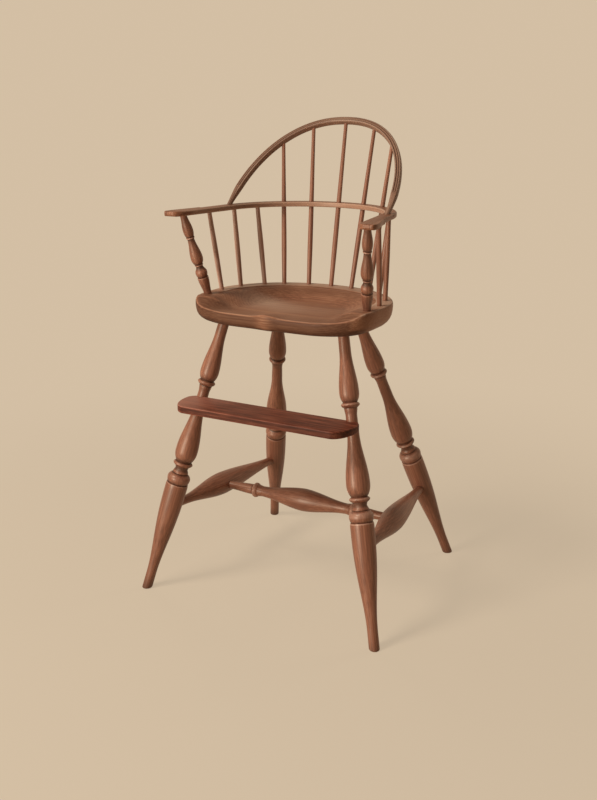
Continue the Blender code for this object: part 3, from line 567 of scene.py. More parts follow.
def turned_tone(turning, shown_low, shown_high, shade=0.0, down=0):
    """Tone of the shown stretch; down is the way along the axis that points at the floor, if any."""
    distances = np.arange(turning.start, turning.end, TONE_STEP)
    radii = np.interp(distances, *zip(*turning.points))
    tones = np.full(len(distances), shade)
    for reach, height in WEAR_AND_SHADE_REACHES:
        width = int(reach / TONE_STEP)
        kernel = np.ones(2 * width + 1) / (2 * width + 1)
        blurred = np.convolve(np.pad(radii, width, mode="edge"), kernel, mode="valid")
        tones += (radii - blurred) / height
    tones = np.minimum(tones, shade + PROUDEST)
    # Painted shade on faces that look down
    tones -= UNDER_SHADE * smooth(-down * np.gradient(radii, distances) / UNDER_SHADE_SLOPE)
    tones = np.maximum(tones, shade - DEEPEST)
    for place in turning.marks:
        tones += RING_TONE * hump(distances - place, RING_REACH)

    def tone(_, log):
        local = log - PITH
        outer = np.interp(local[:, 2], distances, radii)
        shown = np.hypot(local[:, 0], local[:, 1]) > outer - SKIN
        shown &= (local[:, 2] > shown_low) & (local[:, 2] < shown_high)
        return np.where(shown, np.interp(local[:, 2], distances, tones), 0.0)

    return tone


def log_of(matrix):
    """Log coordinates of a straight piece: its axis runs along the fibres, beside the pith."""
    turn = np.array(matrix.inverted())

    def to_log(points):
        return points @ turn[:3, :3].T + turn[:3, 3] + PITH

    return to_log


def turned_piece(node, turning, matrix, sides, tone, borers=()):
    """Spin a piece, bore it where it needs sockets, and dress it."""
    item = spin(node + "_wood", turning, matrix, sides)
    if borers:
        bore(item, borers)
    dress(item, node, "turned_wood", log_of(matrix), tone)


print("tone reaches in mm:", [reach * 1000 for reach, _ in WEAR_AND_SHADE_REACHES])

# %% [markdown]
# ## Legs
#
# From the seat down, each leg has a slim vase, a blunt collar, a thin neck, a larger vase, a second collar,
# a short cove, a ball with a pale arris under it, and a long taper to a rounded toe that is darker towards
# the floor. All four are turned alike; the rear ones are longer because they rake further.

# %% Leg lines and outline
SEAT_TOP = 0.577
SEAT_UNDER = 0.535
SEAT_HALF_WIDTH = 0.1805
SEAT_MIDDLE_Y = -0.0525
SEAT_BACK_DEPTH = 0.149
SEAT_FRONT_DEPTH = 0.1185
SEAT_BACK_Y = SEAT_MIDDLE_Y + SEAT_BACK_DEPTH
SEAT_FRONT_Y = SEAT_MIDDLE_Y - SEAT_FRONT_DEPTH
SIDES = ((-1, "left"), (1, "right"))
# Where a right leg's axis meets the seat's underside, and how far out from there its foot stands
LEG_PLACES = {"front": (SEAT_HALF_WIDTH - 0.0572, SEAT_FRONT_Y + 0.0610, 0.1245, -0.1118),
              "rear": (SEAT_HALF_WIDTH - 0.0950, SEAT_BACK_Y - 0.0735, 0.1281, 0.1980)}
LEG_TENON = 0.023
LEG_TOP = 0.0101
LEG_SIDES = 56
TAPER_TOP = 0.0215
TAPER_POWER = 1.3
TAPER_STEPS = 60
TOE = 0.0096
TOE_LENGTH = 0.032
TOE_ROUND = 0.0026
DARK_TOE_HEIGHT = 0.016
DARK_TOE_TONE = 0.55
# Painted shade that darkens the left legs as a whole
LEG_SHADE = {-1: -0.22, 1: 0.0}


def on_side(point, side):
    return Vector((side * point[0], point[1], point[2]))


def leg_turning(length):
    # Tenon and slim vase
    cut = Turning(-LEG_TENON, 0.0095).ease(LEG_TENON, LEG_TOP)
    cut.ease(0.032, 0.0104).ease(0.074, 0.0176).ball(0.0170, 0.0126)
    # Collar, neck and larger vase
    cut.collar(0.0098, 0.0168, 0.0119).ease(0.0132, 0.0103)
    cut.ease(0.030, 0.0108).ease(0.092, 0.0213).ball(0.0218, 0.0144)
    # Second collar and cove
    cut.collar(0.0100, 0.0188, 0.0132).ease(0.0050, 0.0121).ease(0.0076, 0.0150).level(0.0008, 2)
    # Ball, arris, taper and toe
    cut.ease(0.0006, 0.0141).ball(0.0105, 0.0221).ball(0.0108, 0.0192)
    cut.ease(0.0007, 0.0210).mark(-0.0006).ease(0.0050, TAPER_TOP)
    cut.follow(length - TOE_LENGTH - cut.end, lambda share, base: base + (TOE - base) * (
        1 - math.cos(math.pi * share ** TAPER_POWER)) / 2, TAPER_STEPS)
    return cut.level(TOE_LENGTH + TOE, 1)


def darker_toes(tone):
    """Darken the toes towards the floor."""
    return lambda points, log: tone(points, log) - DARK_TOE_TONE * smooth(1 - points[:, 2] / DARK_TOE_HEIGHT)


legs = {}
for row, (x, y, splay, rake) in LEG_PLACES.items():
    for side, hand in SIDES:
        top, foot = on_side((x, y, SEAT_UNDER), side), on_side((x + splay, y + rake, 0.0), side)
        legs[row, side] = (f"{row}_{hand}_leg", along(top, foot), leg_turning((foot - top).length))
print("leg stations:", len(legs["front", 1][2].points))

# %% [markdown]
# ## Stretchers
#
# A bulbed stretcher joins the front and rear leg on each side, and a longer one with a collar near each end
# and a big bulb joins their middles. The ends are tenons, so the legs and the side stretchers get bored.

# %% Stretcher lines and outlines
TENON_DEPTH = 0.020
TENON_RADIUS = 0.0068
END_RADIUS = 0.0080
STRETCHER_HEIGHTS = {"front": 0.167, "rear": 0.163}
STRETCHER_SIDES = 48
SIDE_BULB = 0.0225
SIDE_SLIMNESS = 1.25
SIDE_STRAIGHTNESS = 0.35
SIDE_FACE = 0.0208
BULB_SHARE = 0.46
CENTRE_COLLAR = 0.1160
CENTRE_NECK = 0.0104
CENTRE_BULB = 0.0225
CENTRE_STRAIGHTNESS = 0.25
SCRIBE_WIDTH = 0.0012
SCRIBE_DEPTH = 0.0006


def at_height(row, side, height):
    """Point of a leg's axis at a height, and the leg's radius there."""
    _, matrix, turning = legs[row, side]
    start = matrix.translation
    axis = matrix.to_3x3() @ Vector((0, 0, 1))
    distance = (start.z - height) / -axis.z
    return start + axis * distance, turning.radius(distance)


stretchers = {}
for side, hand in SIDES:
    front, front_radius = at_height("front", side, STRETCHER_HEIGHTS["front"])
    rear, rear_radius = at_height("rear", side, STRETCHER_HEIGHTS["rear"])
    length = (rear - front).length
    bulb = BULB_SHARE * length
    cut = Turning(front_radius - TENON_DEPTH, TENON_RADIUS).ease(TENON_DEPTH, END_RADIUS)
    cut.ease(bulb - front_radius, SIDE_BULB, slim=SIDE_SLIMNESS)
    cut.ease(length - rear_radius - bulb, END_RADIUS, SIDE_STRAIGHTNESS).ease(TENON_DEPTH, TENON_RADIUS)
    stretchers[side] = (f"{hand}_side_stretcher", along(front, rear), cut, front.lerp(rear, BULB_SHARE))

left, right = stretchers[-1][3], stretchers[1][3]
half = (right - left).length / 2
centre_cut = Turning(SIDE_FACE - TENON_DEPTH, TENON_RADIUS).ease(TENON_DEPTH, END_RADIUS)
centre_cut.ease(half - CENTRE_COLLAR - SIDE_FACE - SCRIBE_WIDTH, CENTRE_NECK)
centre_cut.scribe(SCRIBE_WIDTH, SCRIBE_DEPTH).collar(0.0125, 0.0150, 0.0116).ease(0.0097, CENTRE_NECK)
centre_cut.ease(half - centre_cut.end, CENTRE_BULB, CENTRE_STRAIGHTNESS).mirrored()
print(f"centre stretcher {2 * half * 1000:.0f} mm between the side stretchers' axes")

# %% Turn the legs and bore them
DOWEL = 0.0030
DOWEL_SIDES = 24
DOWEL_IN_LEG = 0.012
DOWEL_IN_BOARD = 0.018
FOOTREST_THICKNESS = 0.0135
FOOTREST_NECK = 0.1545
# How far a borer sticks out of the socket that it cuts in a leg or a stretcher
LEG_BORER = 0.045
STRETCHER_BORER = 0.03
dowels = {}
footrest_top = (legs["front", 1][1] @ Vector((0, 0, FOOTREST_NECK))).z
neck_radius = legs["front", 1][2].radius(FOOTREST_NECK)
for side, hand in SIDES:
    middle, _ = at_height("front", side, footrest_top - FOOTREST_THICKNESS / 2)
    end = middle + Vector((0, DOWEL_IN_LEG - neck_radius, 0))
    pin = Turning(0.0, DOWEL).level(DOWEL_IN_LEG + DOWEL_IN_BOARD)
    dowels[side] = (f"footrest_dowel_{hand}", along(end, end - Vector((0, 1, 0))), pin)

for (row, side), (node, matrix, turning) in legs.items():
    leg = spin(node + "_wood", turning, matrix, LEG_SIDES)
    with reshaping(leg) as body:
        sawn = saw(body, (0, 0, 0), (0, 0, 1), clear_inner=True)
        rim = [item for item in sawn["geom_cut"] if isinstance(item, bmesh.types.BMEdge)]
        bmesh.ops.edgeloop_fill(body, edges=rim)
        bmesh.ops.bevel(body, geom=rim, offset=TOE_ROUND, offset_type="OFFSET", segments=4, profile=0.5,
                        affect="EDGES", clamp_overlap=True)
    _, run, cut, _ = stretchers[side]
    if row == "front":
        _, place, pin = dowels[side]
        borers = [borer(cut, run, cut.start - CLEARANCE, LEG_BORER), borer(pin, place, -CLEARANCE, pin.end)]
    else:
        borers = [borer(cut, run, cut.end - LEG_BORER, cut.end + CLEARANCE)]
    bore(leg, borers)
    tone = darker_toes(turned_tone(turning, 0.0, 1.0, LEG_SHADE[side], 1))
    dress(leg, node, "turned_wood", log_of(matrix), tone)

# %% Turn the stretchers and the footrest's dowels
run = along(left, right)
first, last = centre_cut.start, centre_cut.end
for side, (node, matrix, turning, _) in stretchers.items():
    reach = (first - CLEARANCE, STRETCHER_BORER)
    if side > 0:
        reach = (last + first - STRETCHER_BORER, last + CLEARANCE)
    tone = turned_tone(turning, turning.start + TENON_DEPTH, turning.end - TENON_DEPTH)
    turned_piece(node, turning, matrix, STRETCHER_SIDES, tone, [borer(centre_cut, run, *reach)])
tone = turned_tone(centre_cut, TENON_DEPTH, 2 * half - TENON_DEPTH)
turned_piece("centre_stretcher", centre_cut, run, STRETCHER_SIDES, tone)
for node, matrix, turning in dowels.values():
    turned_piece(node, turning, matrix, DOWEL_SIDES, turned_tone(turning, 0.0, 0.0))

# %% [markdown]
# ## The seat
#
# The plank is a rounded D, flat along a deck where the spindles stand, with a scribed gutter inside it. The
# rest is adzed out into a saddle that runs out over the front edge, and a low pommel is left standing in
# the middle. Its height is a rule of place, so the mesh is a stack of rings that read that rule: up the
# edge, over the arris, across the deck, through the gutter and down into the hollow.

# %% Rules of the seat
SADDLE = 0.0225
SADDLE_WALL = 0.42
FRONT_LIP = 0.0056
LIP_REACH = 0.080
POMMEL = 0.0048
POMMEL_REACH = 0.021
CORNER_RISE = 0.0030
CORNER_RISE_START = 0.085
CORNER_RISE_REACH = 0.06
GUTTER_STEP = 0.0015
GUTTER_RUN_OUT = 0.06
DECK = 0.0315
DECK_BEHIND = 0.038
POST_Y = SEAT_MIDDLE_Y - (SEAT_FRONT_DEPTH - 0.068)
FRONT_POWER = 4.4
# Where the front starts to fall and over what depth, and from where the corners lag, and by how much
FALL_START_Y = POST_Y - 0.008
FALL_DEPTH = 0.050
CORNER_START = 0.09
CORNER_LAG = 0.15
RUN_OUT_Y = SEAT_MIDDLE_Y - 0.010
RUN_OUT_X = 0.150
RUN_OUT_REACH = 0.060


def oval(angles, half_width, back, front):
    """Distance from the seat's middle to a D-shaped line."""
    across, run = np.abs(np.cos(angles)), np.abs(np.sin(angles))
    behind = ((across / half_width) ** 2 + (run / back) ** 2) ** -0.5
    before = ((across / half_width) ** FRONT_POWER + (run / front) ** FRONT_POWER) ** (-1 / FRONT_POWER)
    return np.where(np.sin(angles) >= 0, behind, before)


def seat_rim(angles, inset=0.0):
    return oval(angles, SEAT_HALF_WIDTH - inset, SEAT_BACK_DEPTH - inset, SEAT_FRONT_DEPTH - inset)


def gutter_line(angles):
    return oval(angles, SEAT_HALF_WIDTH - DECK, SEAT_BACK_DEPTH - DECK_BEHIND, SEAT_FRONT_DEPTH - DECK)


def front_slope(x, y):
    """0 on the deck, 1 where the front has run down to the saddle's depth; the corners come down last."""
    corner = np.maximum(np.abs(x) - CORNER_START, 0.0)
    return smooth((FALL_START_Y - y - CORNER_LAG * corner) / FALL_DEPTH)


def run_out(x, y):
    """1 where the saddle runs out over the front edge."""
    return smooth((RUN_OUT_Y - y) / RUN_OUT_REACH) * smooth((RUN_OUT_X - np.abs(x)) / RUN_OUT_REACH)


def gutter_share(y):
    """1 where the gutter is cut in full, 0 beside the arm posts, where it runs out."""
    return smooth((y - POST_Y) / GUTTER_RUN_OUT)


def seat_height(x, y, share):
    corner = CORNER_RISE * smooth((np.abs(x) - CORNER_RISE_START) / CORNER_RISE_REACH)
    lip = smooth(1 - (y - SEAT_FRONT_Y) / LIP_REACH) * (FRONT_LIP + POMMEL * hump(x, POMMEL_REACH) + corner)
    step = GUTTER_STEP / SADDLE * gutter_share(y)
    hollow = np.where(share < 1, step + (1 - step) * smooth((1 - share) / SADDLE_WALL), 0.0)
    drop = 1 - (1 - hollow) * (1 - front_slope(x, y)) * (1 - run_out(x, y))
    return SEAT_TOP - (SADDLE - lip) * drop


def seat_place(angle, inset):
    radius = float(seat_rim(np.array([angle]), inset)[0])
    return Vector((radius * math.cos(angle), SEAT_MIDDLE_Y + radius * math.sin(angle), SEAT_TOP))


print("seat", round(2000 * SEAT_HALF_WIDTH), "mm wide")

# %% Rings of the seat
RIM_POINTS = 288
angles = np.linspace(0, math.tau, RIM_POINTS, endpoint=False)
# Edge from the underside up: share of the height, share of the undercut, and inset of the arris
EDGE = ((0.0, 1.0, 0.0), (0.04, 0.76, 0.0), (0.10, 0.54, 0.0), (0.20, 0.33, 0.0), (0.32, 0.18, 0.0),
        (0.46, 0.08, 0.0), (0.62, 0.025, 0.0), (0.80, 0.0, 0.0), (0.90, 0.0, 0.0002), (0.95, 0.0, 0.0006),
        (0.98, 0.0, 0.0012), (0.995, 0.0, 0.0019), (1.0, 0.0, 0.0027))
UNDERCUT = 0.024
FRONT_UNDERCUT = 0.010
UNDER_RING = 0.012
NOSE = 0.003
NOSE_REACH = 0.020
DECK_SHARES = (0.15, 0.35, 0.55, 0.75)
# Gutter from the deck in: distance from its line, and depth
GUTTER = ((0.0022, 0.0), (0.0012, 0.0003), (0.0005, 0.0010), (0.0, 0.0013))
SADDLE_SHARES = (0.988, 0.98, 0.965, 0.95, 0.93, 0.91, *np.linspace(0.885, 0.06, 34))
# The underside stands in less along the front than at the ends and behind
frontal = smooth((1.02 - np.abs(np.cos(angles))) / 0.42) * (np.sin(angles) < 0)
undercut = UNDERCUT + (FRONT_UNDERCUT - UNDERCUT) * frontal


def ring(radii, heights=None, share=1.0):
    x, y = radii * np.cos(angles), SEAT_MIDDLE_Y + radii * np.sin(angles)
    z = seat_height(x, y, share) if heights is None else heights
    return np.stack([x, y, np.broadcast_to(z, x.shape)], axis=1)


rings = [ring(seat_rim(angles, undercut + UNDER_RING), SEAT_UNDER)]
for height_share, undercut_share, inset in EDGE:
    edge = ring(seat_rim(angles, undercut_share * undercut + inset))
    edge[:, 1] -= NOSE * hump(edge[:, 0], NOSE_REACH) * (np.sin(angles) < 0)
    top = seat_height(edge[:, 0], edge[:, 1], 1.0)
    edge[:, 2] = SEAT_UNDER + height_share * (top - SEAT_UNDER)
    rings.append(edge)
gutter = gutter_line(angles)
deck_edge = np.hypot(rings[-1][:, 0], rings[-1][:, 1] - SEAT_MIDDLE_Y)
for share in DECK_SHARES:
    rings.append(ring(deck_edge + (gutter + GUTTER[0][0] - deck_edge) * share))
for offset, depth in GUTTER:
    cut_ring = ring(gutter + offset)
    cut_ring[:, 2] -= depth * gutter_share(cut_ring[:, 1])
    rings.append(cut_ring)
for share in SADDLE_SHARES:
    rings.append(ring(gutter * share, None, share))
seat = stacked("seat_wood", rings)
print("seat rings:", len(rings))

# %% [markdown]
# ## Arm posts and spindles
#
# The posts are small cousins of the legs, with two vases, a pear-shaped ball and low rings. The spindles
# only swell a little above the seat. Each is placed by two points: its foot on the deck, and its head under
# the rail or in the bow. The long ones run through slanted bores in the rail, which bind the back together.

# %% Rail and bow lines
RAIL_RADIUS = SEAT_HALF_WIDTH - 0.014
RAIL_FLARE = math.radians(9.3)
RAIL_UNDER = SEAT_TOP + 0.1488
RAIL_THICKNESS = 0.0094
RAIL_TOP = RAIL_UNDER + RAIL_THICKNESS
RAIL_MIDDLE = RAIL_UNDER + RAIL_THICKNESS / 2
RAIL_WIDTH = 0.023
BOW_RISE = 0.1523
BOW_POWER = 2.2
AHEAD = Vector((math.sin(RAIL_FLARE), -math.cos(RAIL_FLARE), 0))
OUTWARD = Vector((math.cos(RAIL_FLARE), math.sin(RAIL_FLARE), 0))
UP = Vector((0, 0, 1))
# How far along the arm the post's head and the hand's tip lie, from the end of the bend
POST_HEAD_Y = SEAT_MIDDLE_Y - POST_Y + 0.045
POST_RAIL_FORWARD = POST_HEAD_Y / math.cos(RAIL_FLARE) + RAIL_RADIUS * math.tan(RAIL_FLARE)
HAND_TIP = POST_RAIL_FORWARD + 0.0285
SPINDLE_INSET = 0.0145
BORE_INSET = 0.0035
BOW_FOOT_FORWARD = -0.001


def rail_bend(angle, height):
    return Vector((RAIL_RADIUS * math.cos(angle), SEAT_MIDDLE_Y + RAIL_RADIUS * math.sin(angle), height))


def rail_arm(forward, height):
    return rail_bend(RAIL_FLARE, height) + AHEAD * float(forward)


spindle_y = SEAT_BACK_Y - SPINDLE_INSET
lean = (SEAT_MIDDLE_Y + RAIL_RADIUS - BORE_INSET - spindle_y) / (RAIL_MIDDLE - SEAT_TOP)
bow_foot = rail_arm(BOW_FOOT_FORWARD, RAIL_TOP)
bow_base = Vector((0, bow_foot.y, RAIL_TOP))
bow_top = Vector((0, spindle_y + lean * (RAIL_TOP + BOW_RISE - SEAT_TOP), RAIL_TOP + BOW_RISE))
bow_up = (bow_top - bow_base).normalized()
bow_height = (bow_top - bow_base).length


def bow_place(angle):
    across, run = abs(math.cos(angle)) / bow_foot.x, abs(math.sin(angle)) / bow_height
    radius = (across ** BOW_POWER + run ** BOW_POWER) ** (-1 / BOW_POWER)
    return bow_base + Vector((radius * math.cos(angle), 0, 0)) + bow_up * radius * math.sin(angle)


print(f"bow leans {math.degrees(math.acos(bow_up.z)):.0f} degrees back")

# %% Turn the posts and spindles
POST_INSET = 0.014
POST_TENON = 0.020
POST_FOOT = 0.0071
POST_HEAD = 0.0062
POST_SIDES = 44
# Painted shade that darkens each arm post as a whole
POST_SHADE = {-1: -0.36, 1: -0.46}
SPINDLE_TENON = 0.018
SPINDLE_FOOT = 0.0043
SPINDLE_SWELL = 0.0049
SWELL_HEIGHT = 0.075
SPINDLE_SIDES = 28
FINE_BORER_SIDES = 24
# Painted light on the left short spindles, a little painted shade on the right ones
SPINDLE_SHADE = {-1: 0.70, 1: -0.05}
# Degrees round the seat and round the rail's bend: the first short spindle's, and the step to the next
SHORT_FEET = (-0.5, 18.1)
SHORT_HEADS = (-5, 19)
FRONT_HEAD_FORWARD = 0.055
SHORT_HEAD = 0.0041
SHORT_TENON = 0.006
# Degrees from one long spindle to the next, on the seat and round the bow
LONG_FEET = 19.8
LONG_HEADS = 17.2
LONG_HEAD = 0.0035
LONG_TENON = 0.002
# Painted light on the long spindles
LONG_SHADE = 0.20
LONG_SPINDLES = ((0, 1, "centre"), (1, -1, "left_inner"), (2, -1, "left_outer"), (1, 1, "right_inner"),
                 (2, 1, "right_outer"))
BOW_BORER = 0.012
seat_borers = []
rail_borers = []
bow_borers = []
post_share = (SEAT_MIDDLE_Y - POST_Y) / (SEAT_FRONT_DEPTH - POST_INSET)
post_x = (SEAT_HALF_WIDTH - POST_INSET) * (1 - post_share ** FRONT_POWER) ** (1 / FRONT_POWER)
for side, hand in SIDES:
    foot = on_side((post_x, POST_Y, SEAT_TOP), side)
    head = on_side(rail_arm(POST_RAIL_FORWARD, RAIL_UNDER), side)
    length = (head - foot).length
    # Tenon, flared foot, ball and lower ring
    cut = Turning(-POST_TENON, POST_HEAD).ease(POST_TENON, POST_FOOT).ease(0.0340, 0.0104).mark(0.0004)
    cut.ease(0.0006, 0.0088).ball(0.0098, 0.0111).ease(0.0117, 0.0066)
    cut.ease(0.0015, 0.0068).bead(0.0030, 0.0080).mark(0.0015)
    # Lower vase and upper ring
    cut.ease(0.0004, 0.0076).ball(0.0120, 0.0113).ease(0.0385, 0.0064).bead(0.0036, 0.0080).mark(0.0018)
    # Upper vase and tenon
    cut.ease(0.0004, 0.0073).ball(0.0121, 0.0094).ease(length - cut.end, POST_HEAD)
    cut.ease(0.007, 0.0050, 1.0, steps=4)
    matrix = along(foot, head)
    seat_borers.append(borer(cut, matrix, cut.start - CLEARANCE, POST_FOOT))
    rail_borers.append(borer(cut, matrix, length - POST_HEAD, cut.end + CLEARANCE))
    tone = turned_tone(cut, 0.0, length, POST_SHADE[side], -1)
    turned_piece(hand + "_arm_post", cut, matrix, POST_SIDES, tone)


def spindle(node, foot, head, tenon, head_radius, shade):
    """Turn a spindle and bore the seat for it; return a way to bore what it runs into."""
    length = (head - foot).length
    cut = Turning(-SPINDLE_TENON, SPINDLE_FOOT).level(SPINDLE_TENON).ease(SWELL_HEIGHT, SPINDLE_SWELL)
    cut.ease(length - SWELL_HEIGHT, head_radius).level(tenon)
    matrix = along(foot, head)

    def bore_for(low, high):
        return borer(cut, matrix, low, high, FINE_BORER_SIDES)

    seat_borers.append(bore_for(cut.start - CLEARANCE, SPINDLE_FOOT))
    turned_piece(node, cut, matrix, SPINDLE_SIDES, turned_tone(cut, 0.0, length, shade))
    return bore_for, length, cut.end + CLEARANCE


for side, hand in SIDES:
    for index, place in enumerate(("front", "middle", "rear")):
        foot_turn = math.radians(SHORT_FEET[0] + SHORT_FEET[1] * index)
        head_turn = math.radians(SHORT_HEADS[0] + SHORT_HEADS[1] * index)
        foot = on_side(seat_place(foot_turn, SPINDLE_INSET), side)
        head = rail_bend(head_turn, RAIL_UNDER) if index else rail_arm(FRONT_HEAD_FORWARD, RAIL_UNDER)
        bore_for, length, last = spindle(f"{hand}_{place}_spindle", foot, on_side(head, side), SHORT_TENON,
                                         SHORT_HEAD, SPINDLE_SHADE[side])
        rail_borers.append(bore_for(length - SHORT_HEAD, last))
for index, side, place in LONG_SPINDLES:
    foot = on_side(seat_place(math.pi / 2 - math.radians(LONG_FEET) * index, SPINDLE_INSET), side)
    head = on_side(bow_place(math.pi / 2 - math.radians(LONG_HEADS) * index), side)
    bore_for, length, last = spindle(place + "_long_spindle", foot, head, LONG_TENON, LONG_HEAD, LONG_SHADE)
    crossing = (RAIL_MIDDLE - SEAT_TOP) * length / (head.z - foot.z)
    rail_borers.append(bore_for(crossing - RAIL_THICKNESS, crossing + RAIL_THICKNESS))
    bow_borers.append(bore_for(length - BOW_BORER, last))

# %% Bore and dress the seat
# Painted pools of light on the seat's top: tone, place to the right of its middle and behind it, and reach
# both ways
SADDLE_LIGHT_POOL = (0.36, -0.035, -0.004, 0.110, 0.050)
SEAT_LIGHT_PATCHES = ((0.34, -0.085, 0.035, 0.050, 0.035), (0.15, 0.085, 0.035, 0.045, 0.040),
                (0.26, -0.012, -0.070, 0.022, 0.030))
SEAT_LOG = (0.01, 0.16 - SEAT_UNDER)
for node, matrix, turning in legs.values():
    seat_borers.append(borer(turning, matrix, -LEG_TENON - CLEARANCE, LEG_TOP))


def plank_log(behind, above):
    """Log coordinates of a plank: its fibres run from side to side, and the log's middle lay under it."""
    return lambda points: points[:, (1, 2, 0)] + (behind, above, 0.0)


def patch(x, y, tone, right, behind, wide, deep):
    return tone * hump(x - right, wide) * hump(y - behind, deep)


def seat_tone(points, _):
    x, y, z = points[:, 0], points[:, 1] - SEAT_MIDDLE_Y, points[:, 2]
    angle, radius = np.arctan2(y, x), np.hypot(x, y)
    inside = seat_rim(angle) - radius
    level = seat_height(x, points[:, 1], 1.0)
    line = gutter_line(angle)
    on_deck = (z > level - 0.004).astype(float)
    on_top = gutter_share(points[:, 1])
    # Painted pools of light on the saddle and behind the pommel
    tone = sum(patch(x, y, *sizes) for sizes in SEAT_LIGHT_PATCHES)
    tone += patch(x, y, *SADDLE_LIGHT_POOL) * smooth((line - radius) / 0.02)
    # Arris, and the gutter with its lip
    tone += 0.55 * hump(inside - 0.0022, 0.0007) * on_deck
    tone += (0.60 * hump(radius - line - 0.0022, 0.0012) - 0.45 * hump(radius - line, 0.0011)) * on_top
    # Deck, and the saddle's shaded wall
    deck = smooth((radius - line - 0.003) / 0.004) * smooth((inside - 0.004) / 0.004) * on_deck
    tone += 0.45 * on_top * deck
    tone -= 0.46 * hump(radius / line - 0.88, 0.15) * smooth((y - 0.02) / 0.06) * smooth((x + 0.15) / 0.08)
    # Painted shade on the front of the top and on the deck's left corner, and a paler brow where the corners
    # fall
    front = 0.40 + 0.15 * smooth((x - 0.09) / 0.05)
    tone -= front * smooth((-0.030 - y) / 0.045) * smooth((inside - 0.002) / 0.002)
    tone -= 0.22 * smooth((-x - 0.08) / 0.05) * (1 - on_top) * on_deck
    brow = hump(front_slope(x, points[:, 1]) - 0.05, 0.04)
    tone += 0.50 * brow * smooth((np.abs(x) - 0.115) / 0.02) * on_deck
    # Painted shade on the edge below the arris, with painted light under the pommel and at the right end
    edge = 0.32 * hump(x + 0.004, 0.016) - 0.80 + 0.85 * smooth((x - 0.148) / 0.025)
    return tone + edge * smooth((level - 0.0004 - z) / 0.0016) * (inside < 0.03)


bore(seat, seat_borers)
dress(seat, "seat", "plank_wood", plank_log(*SEAT_LOG), seat_tone)

# %% [markdown]
# ## The footrest
#
# A plain board is coped round the necks of the front legs and held by a hidden dowel in each. Its corners
# are rounded, its arrises are eased, and feet have rubbed the front one pale. Its edge faces are darkened
# with painted shade, and its top gets painted light towards the left end. Its faces are cut into cells, so
# that the tones have points to sit on.

# %% Footrest board
FRONT_CORNER = (0.030, 0.052)
REAR_CORNER = (0.016, 0.0195)
CORNER_POINTS = 25
BOARD_DEPTH = 0.074
BOARD_OVERHANG = 0.0228
BOARD_COPE = 0.0065
ARRIS = 0.0021
ARRIS_STEPS = 6
ARRIS_MIDDLE = 0.0007
ARRIS_REACH = 0.0012
CELLS_X = np.linspace(-0.14, 0.14, 15)
CELLS_DOWN = np.array((0.0036, 0.0068, 0.0100))
CELL_MARGIN = 0.009
COPE_BORER = (FOOTREST_NECK - 0.0135, FOOTREST_NECK + 0.027)
upper = legs["front", 1][1] @ Vector((0, 0, FOOTREST_NECK))
board_rear = upper.y - neck_radius + BOARD_COPE
board_front = board_rear - BOARD_DEPTH
board_half = upper.x + BOARD_OVERHANG
board_log = plank_log(0.15, 0.05 - footrest_top)


def board_outline(inset, height):
    points = []
    for (wide, deep), first, y in ((FRONT_CORNER, -90, board_front + FRONT_CORNER[1]),
                                   (REAR_CORNER, 0, board_rear - REAR_CORNER[1])):
        for angle in np.radians(np.linspace(first, first + 90, CORNER_POINTS)):
            points.append((board_half - wide + (wide - inset) * math.cos(angle),
                           y + (deep - inset) * math.sin(angle), height))
    return points + [(-x, y, z) for x, y, z in reversed(points)]


turns = np.linspace(0, 1, ARRIS_STEPS) * math.pi / 2
eased = [(ARRIS * (1 - math.sin(angle)), ARRIS * (1 - math.cos(angle))) for angle in turns]
rings = [board_outline(inset, footrest_top - FOOTREST_THICKNESS + rise) for inset, rise in eased]
rings += [board_outline(inset, footrest_top - rise) for inset, rise in reversed(eased)]
board = stacked("footrest_wood", rings)
with reshaping(board) as body:
    for normal, places in (((1, 0, 0), CELLS_X),
                           ((0, 1, 0), np.linspace(board_front + CELL_MARGIN, board_rear - CELL_MARGIN, 6)),
                           ((0, 0, 1), footrest_top - CELLS_DOWN)):
        for place in places:
            saw(body, Vector(normal) * float(place), normal)


def board_tone(points, _):
    x, y, z = points.T
    wide, deep = FRONT_CORNER
    past_end = np.maximum(np.abs(x) - board_half + wide, 0) / wide
    turn = np.hypot(past_end, np.maximum(board_front + deep - y, 0) / deep)
    inside = np.where(np.abs(x) > board_half - wide, (1 - turn) * wide, y - board_front)
    top = footrest_top - z
    at_edge = hump(np.abs(inside) - ARRIS_MIDDLE, ARRIS_REACH)
    at_top = hump(top - ARRIS_MIDDLE, ARRIS_REACH)
    at_bottom = hump(FOOTREST_THICKNESS - top - ARRIS_MIDDLE, ARRIS_REACH)
    # Painted light, growing towards the left end
    painted_left_light = smooth((-x - 0.02) / 0.14)
    from_rear = 1 - (y - board_front) / BOARD_DEPTH
    # Painted shade on the edge faces, lighter towards the left end and towards the bottom
    face = 0.30 * painted_left_light - 0.80 + 0.36 * top / FOOTREST_THICKNESS
    face *= smooth((top - ARRIS_MIDDLE) / ARRIS_REACH) * (inside < 0.003)
    # Painted light on the top towards the left end; the top is also darker towards the front
    top_painted_light = (0.90 * painted_left_light - 0.06 - 0.30 * from_rear) * (top < 0.001)
    return at_edge * (0.50 * at_top + 0.45 * at_bottom) + face + top_painted_light


# The dowels' sockets open into the copes, so they are bored after them
front_legs = [legs["front", side] for side, _ in SIDES]
bore(board, [borer(turning, matrix, *COPE_BORER, LEG_SIDES) for _, matrix, turning in front_legs])
bore(board, [borer(pin, place, 0.0, pin.end + CLEARANCE) for _, place, pin in dowels.values()])
dress(board, "footrest", "plank_wood", board_log, board_tone, "board")

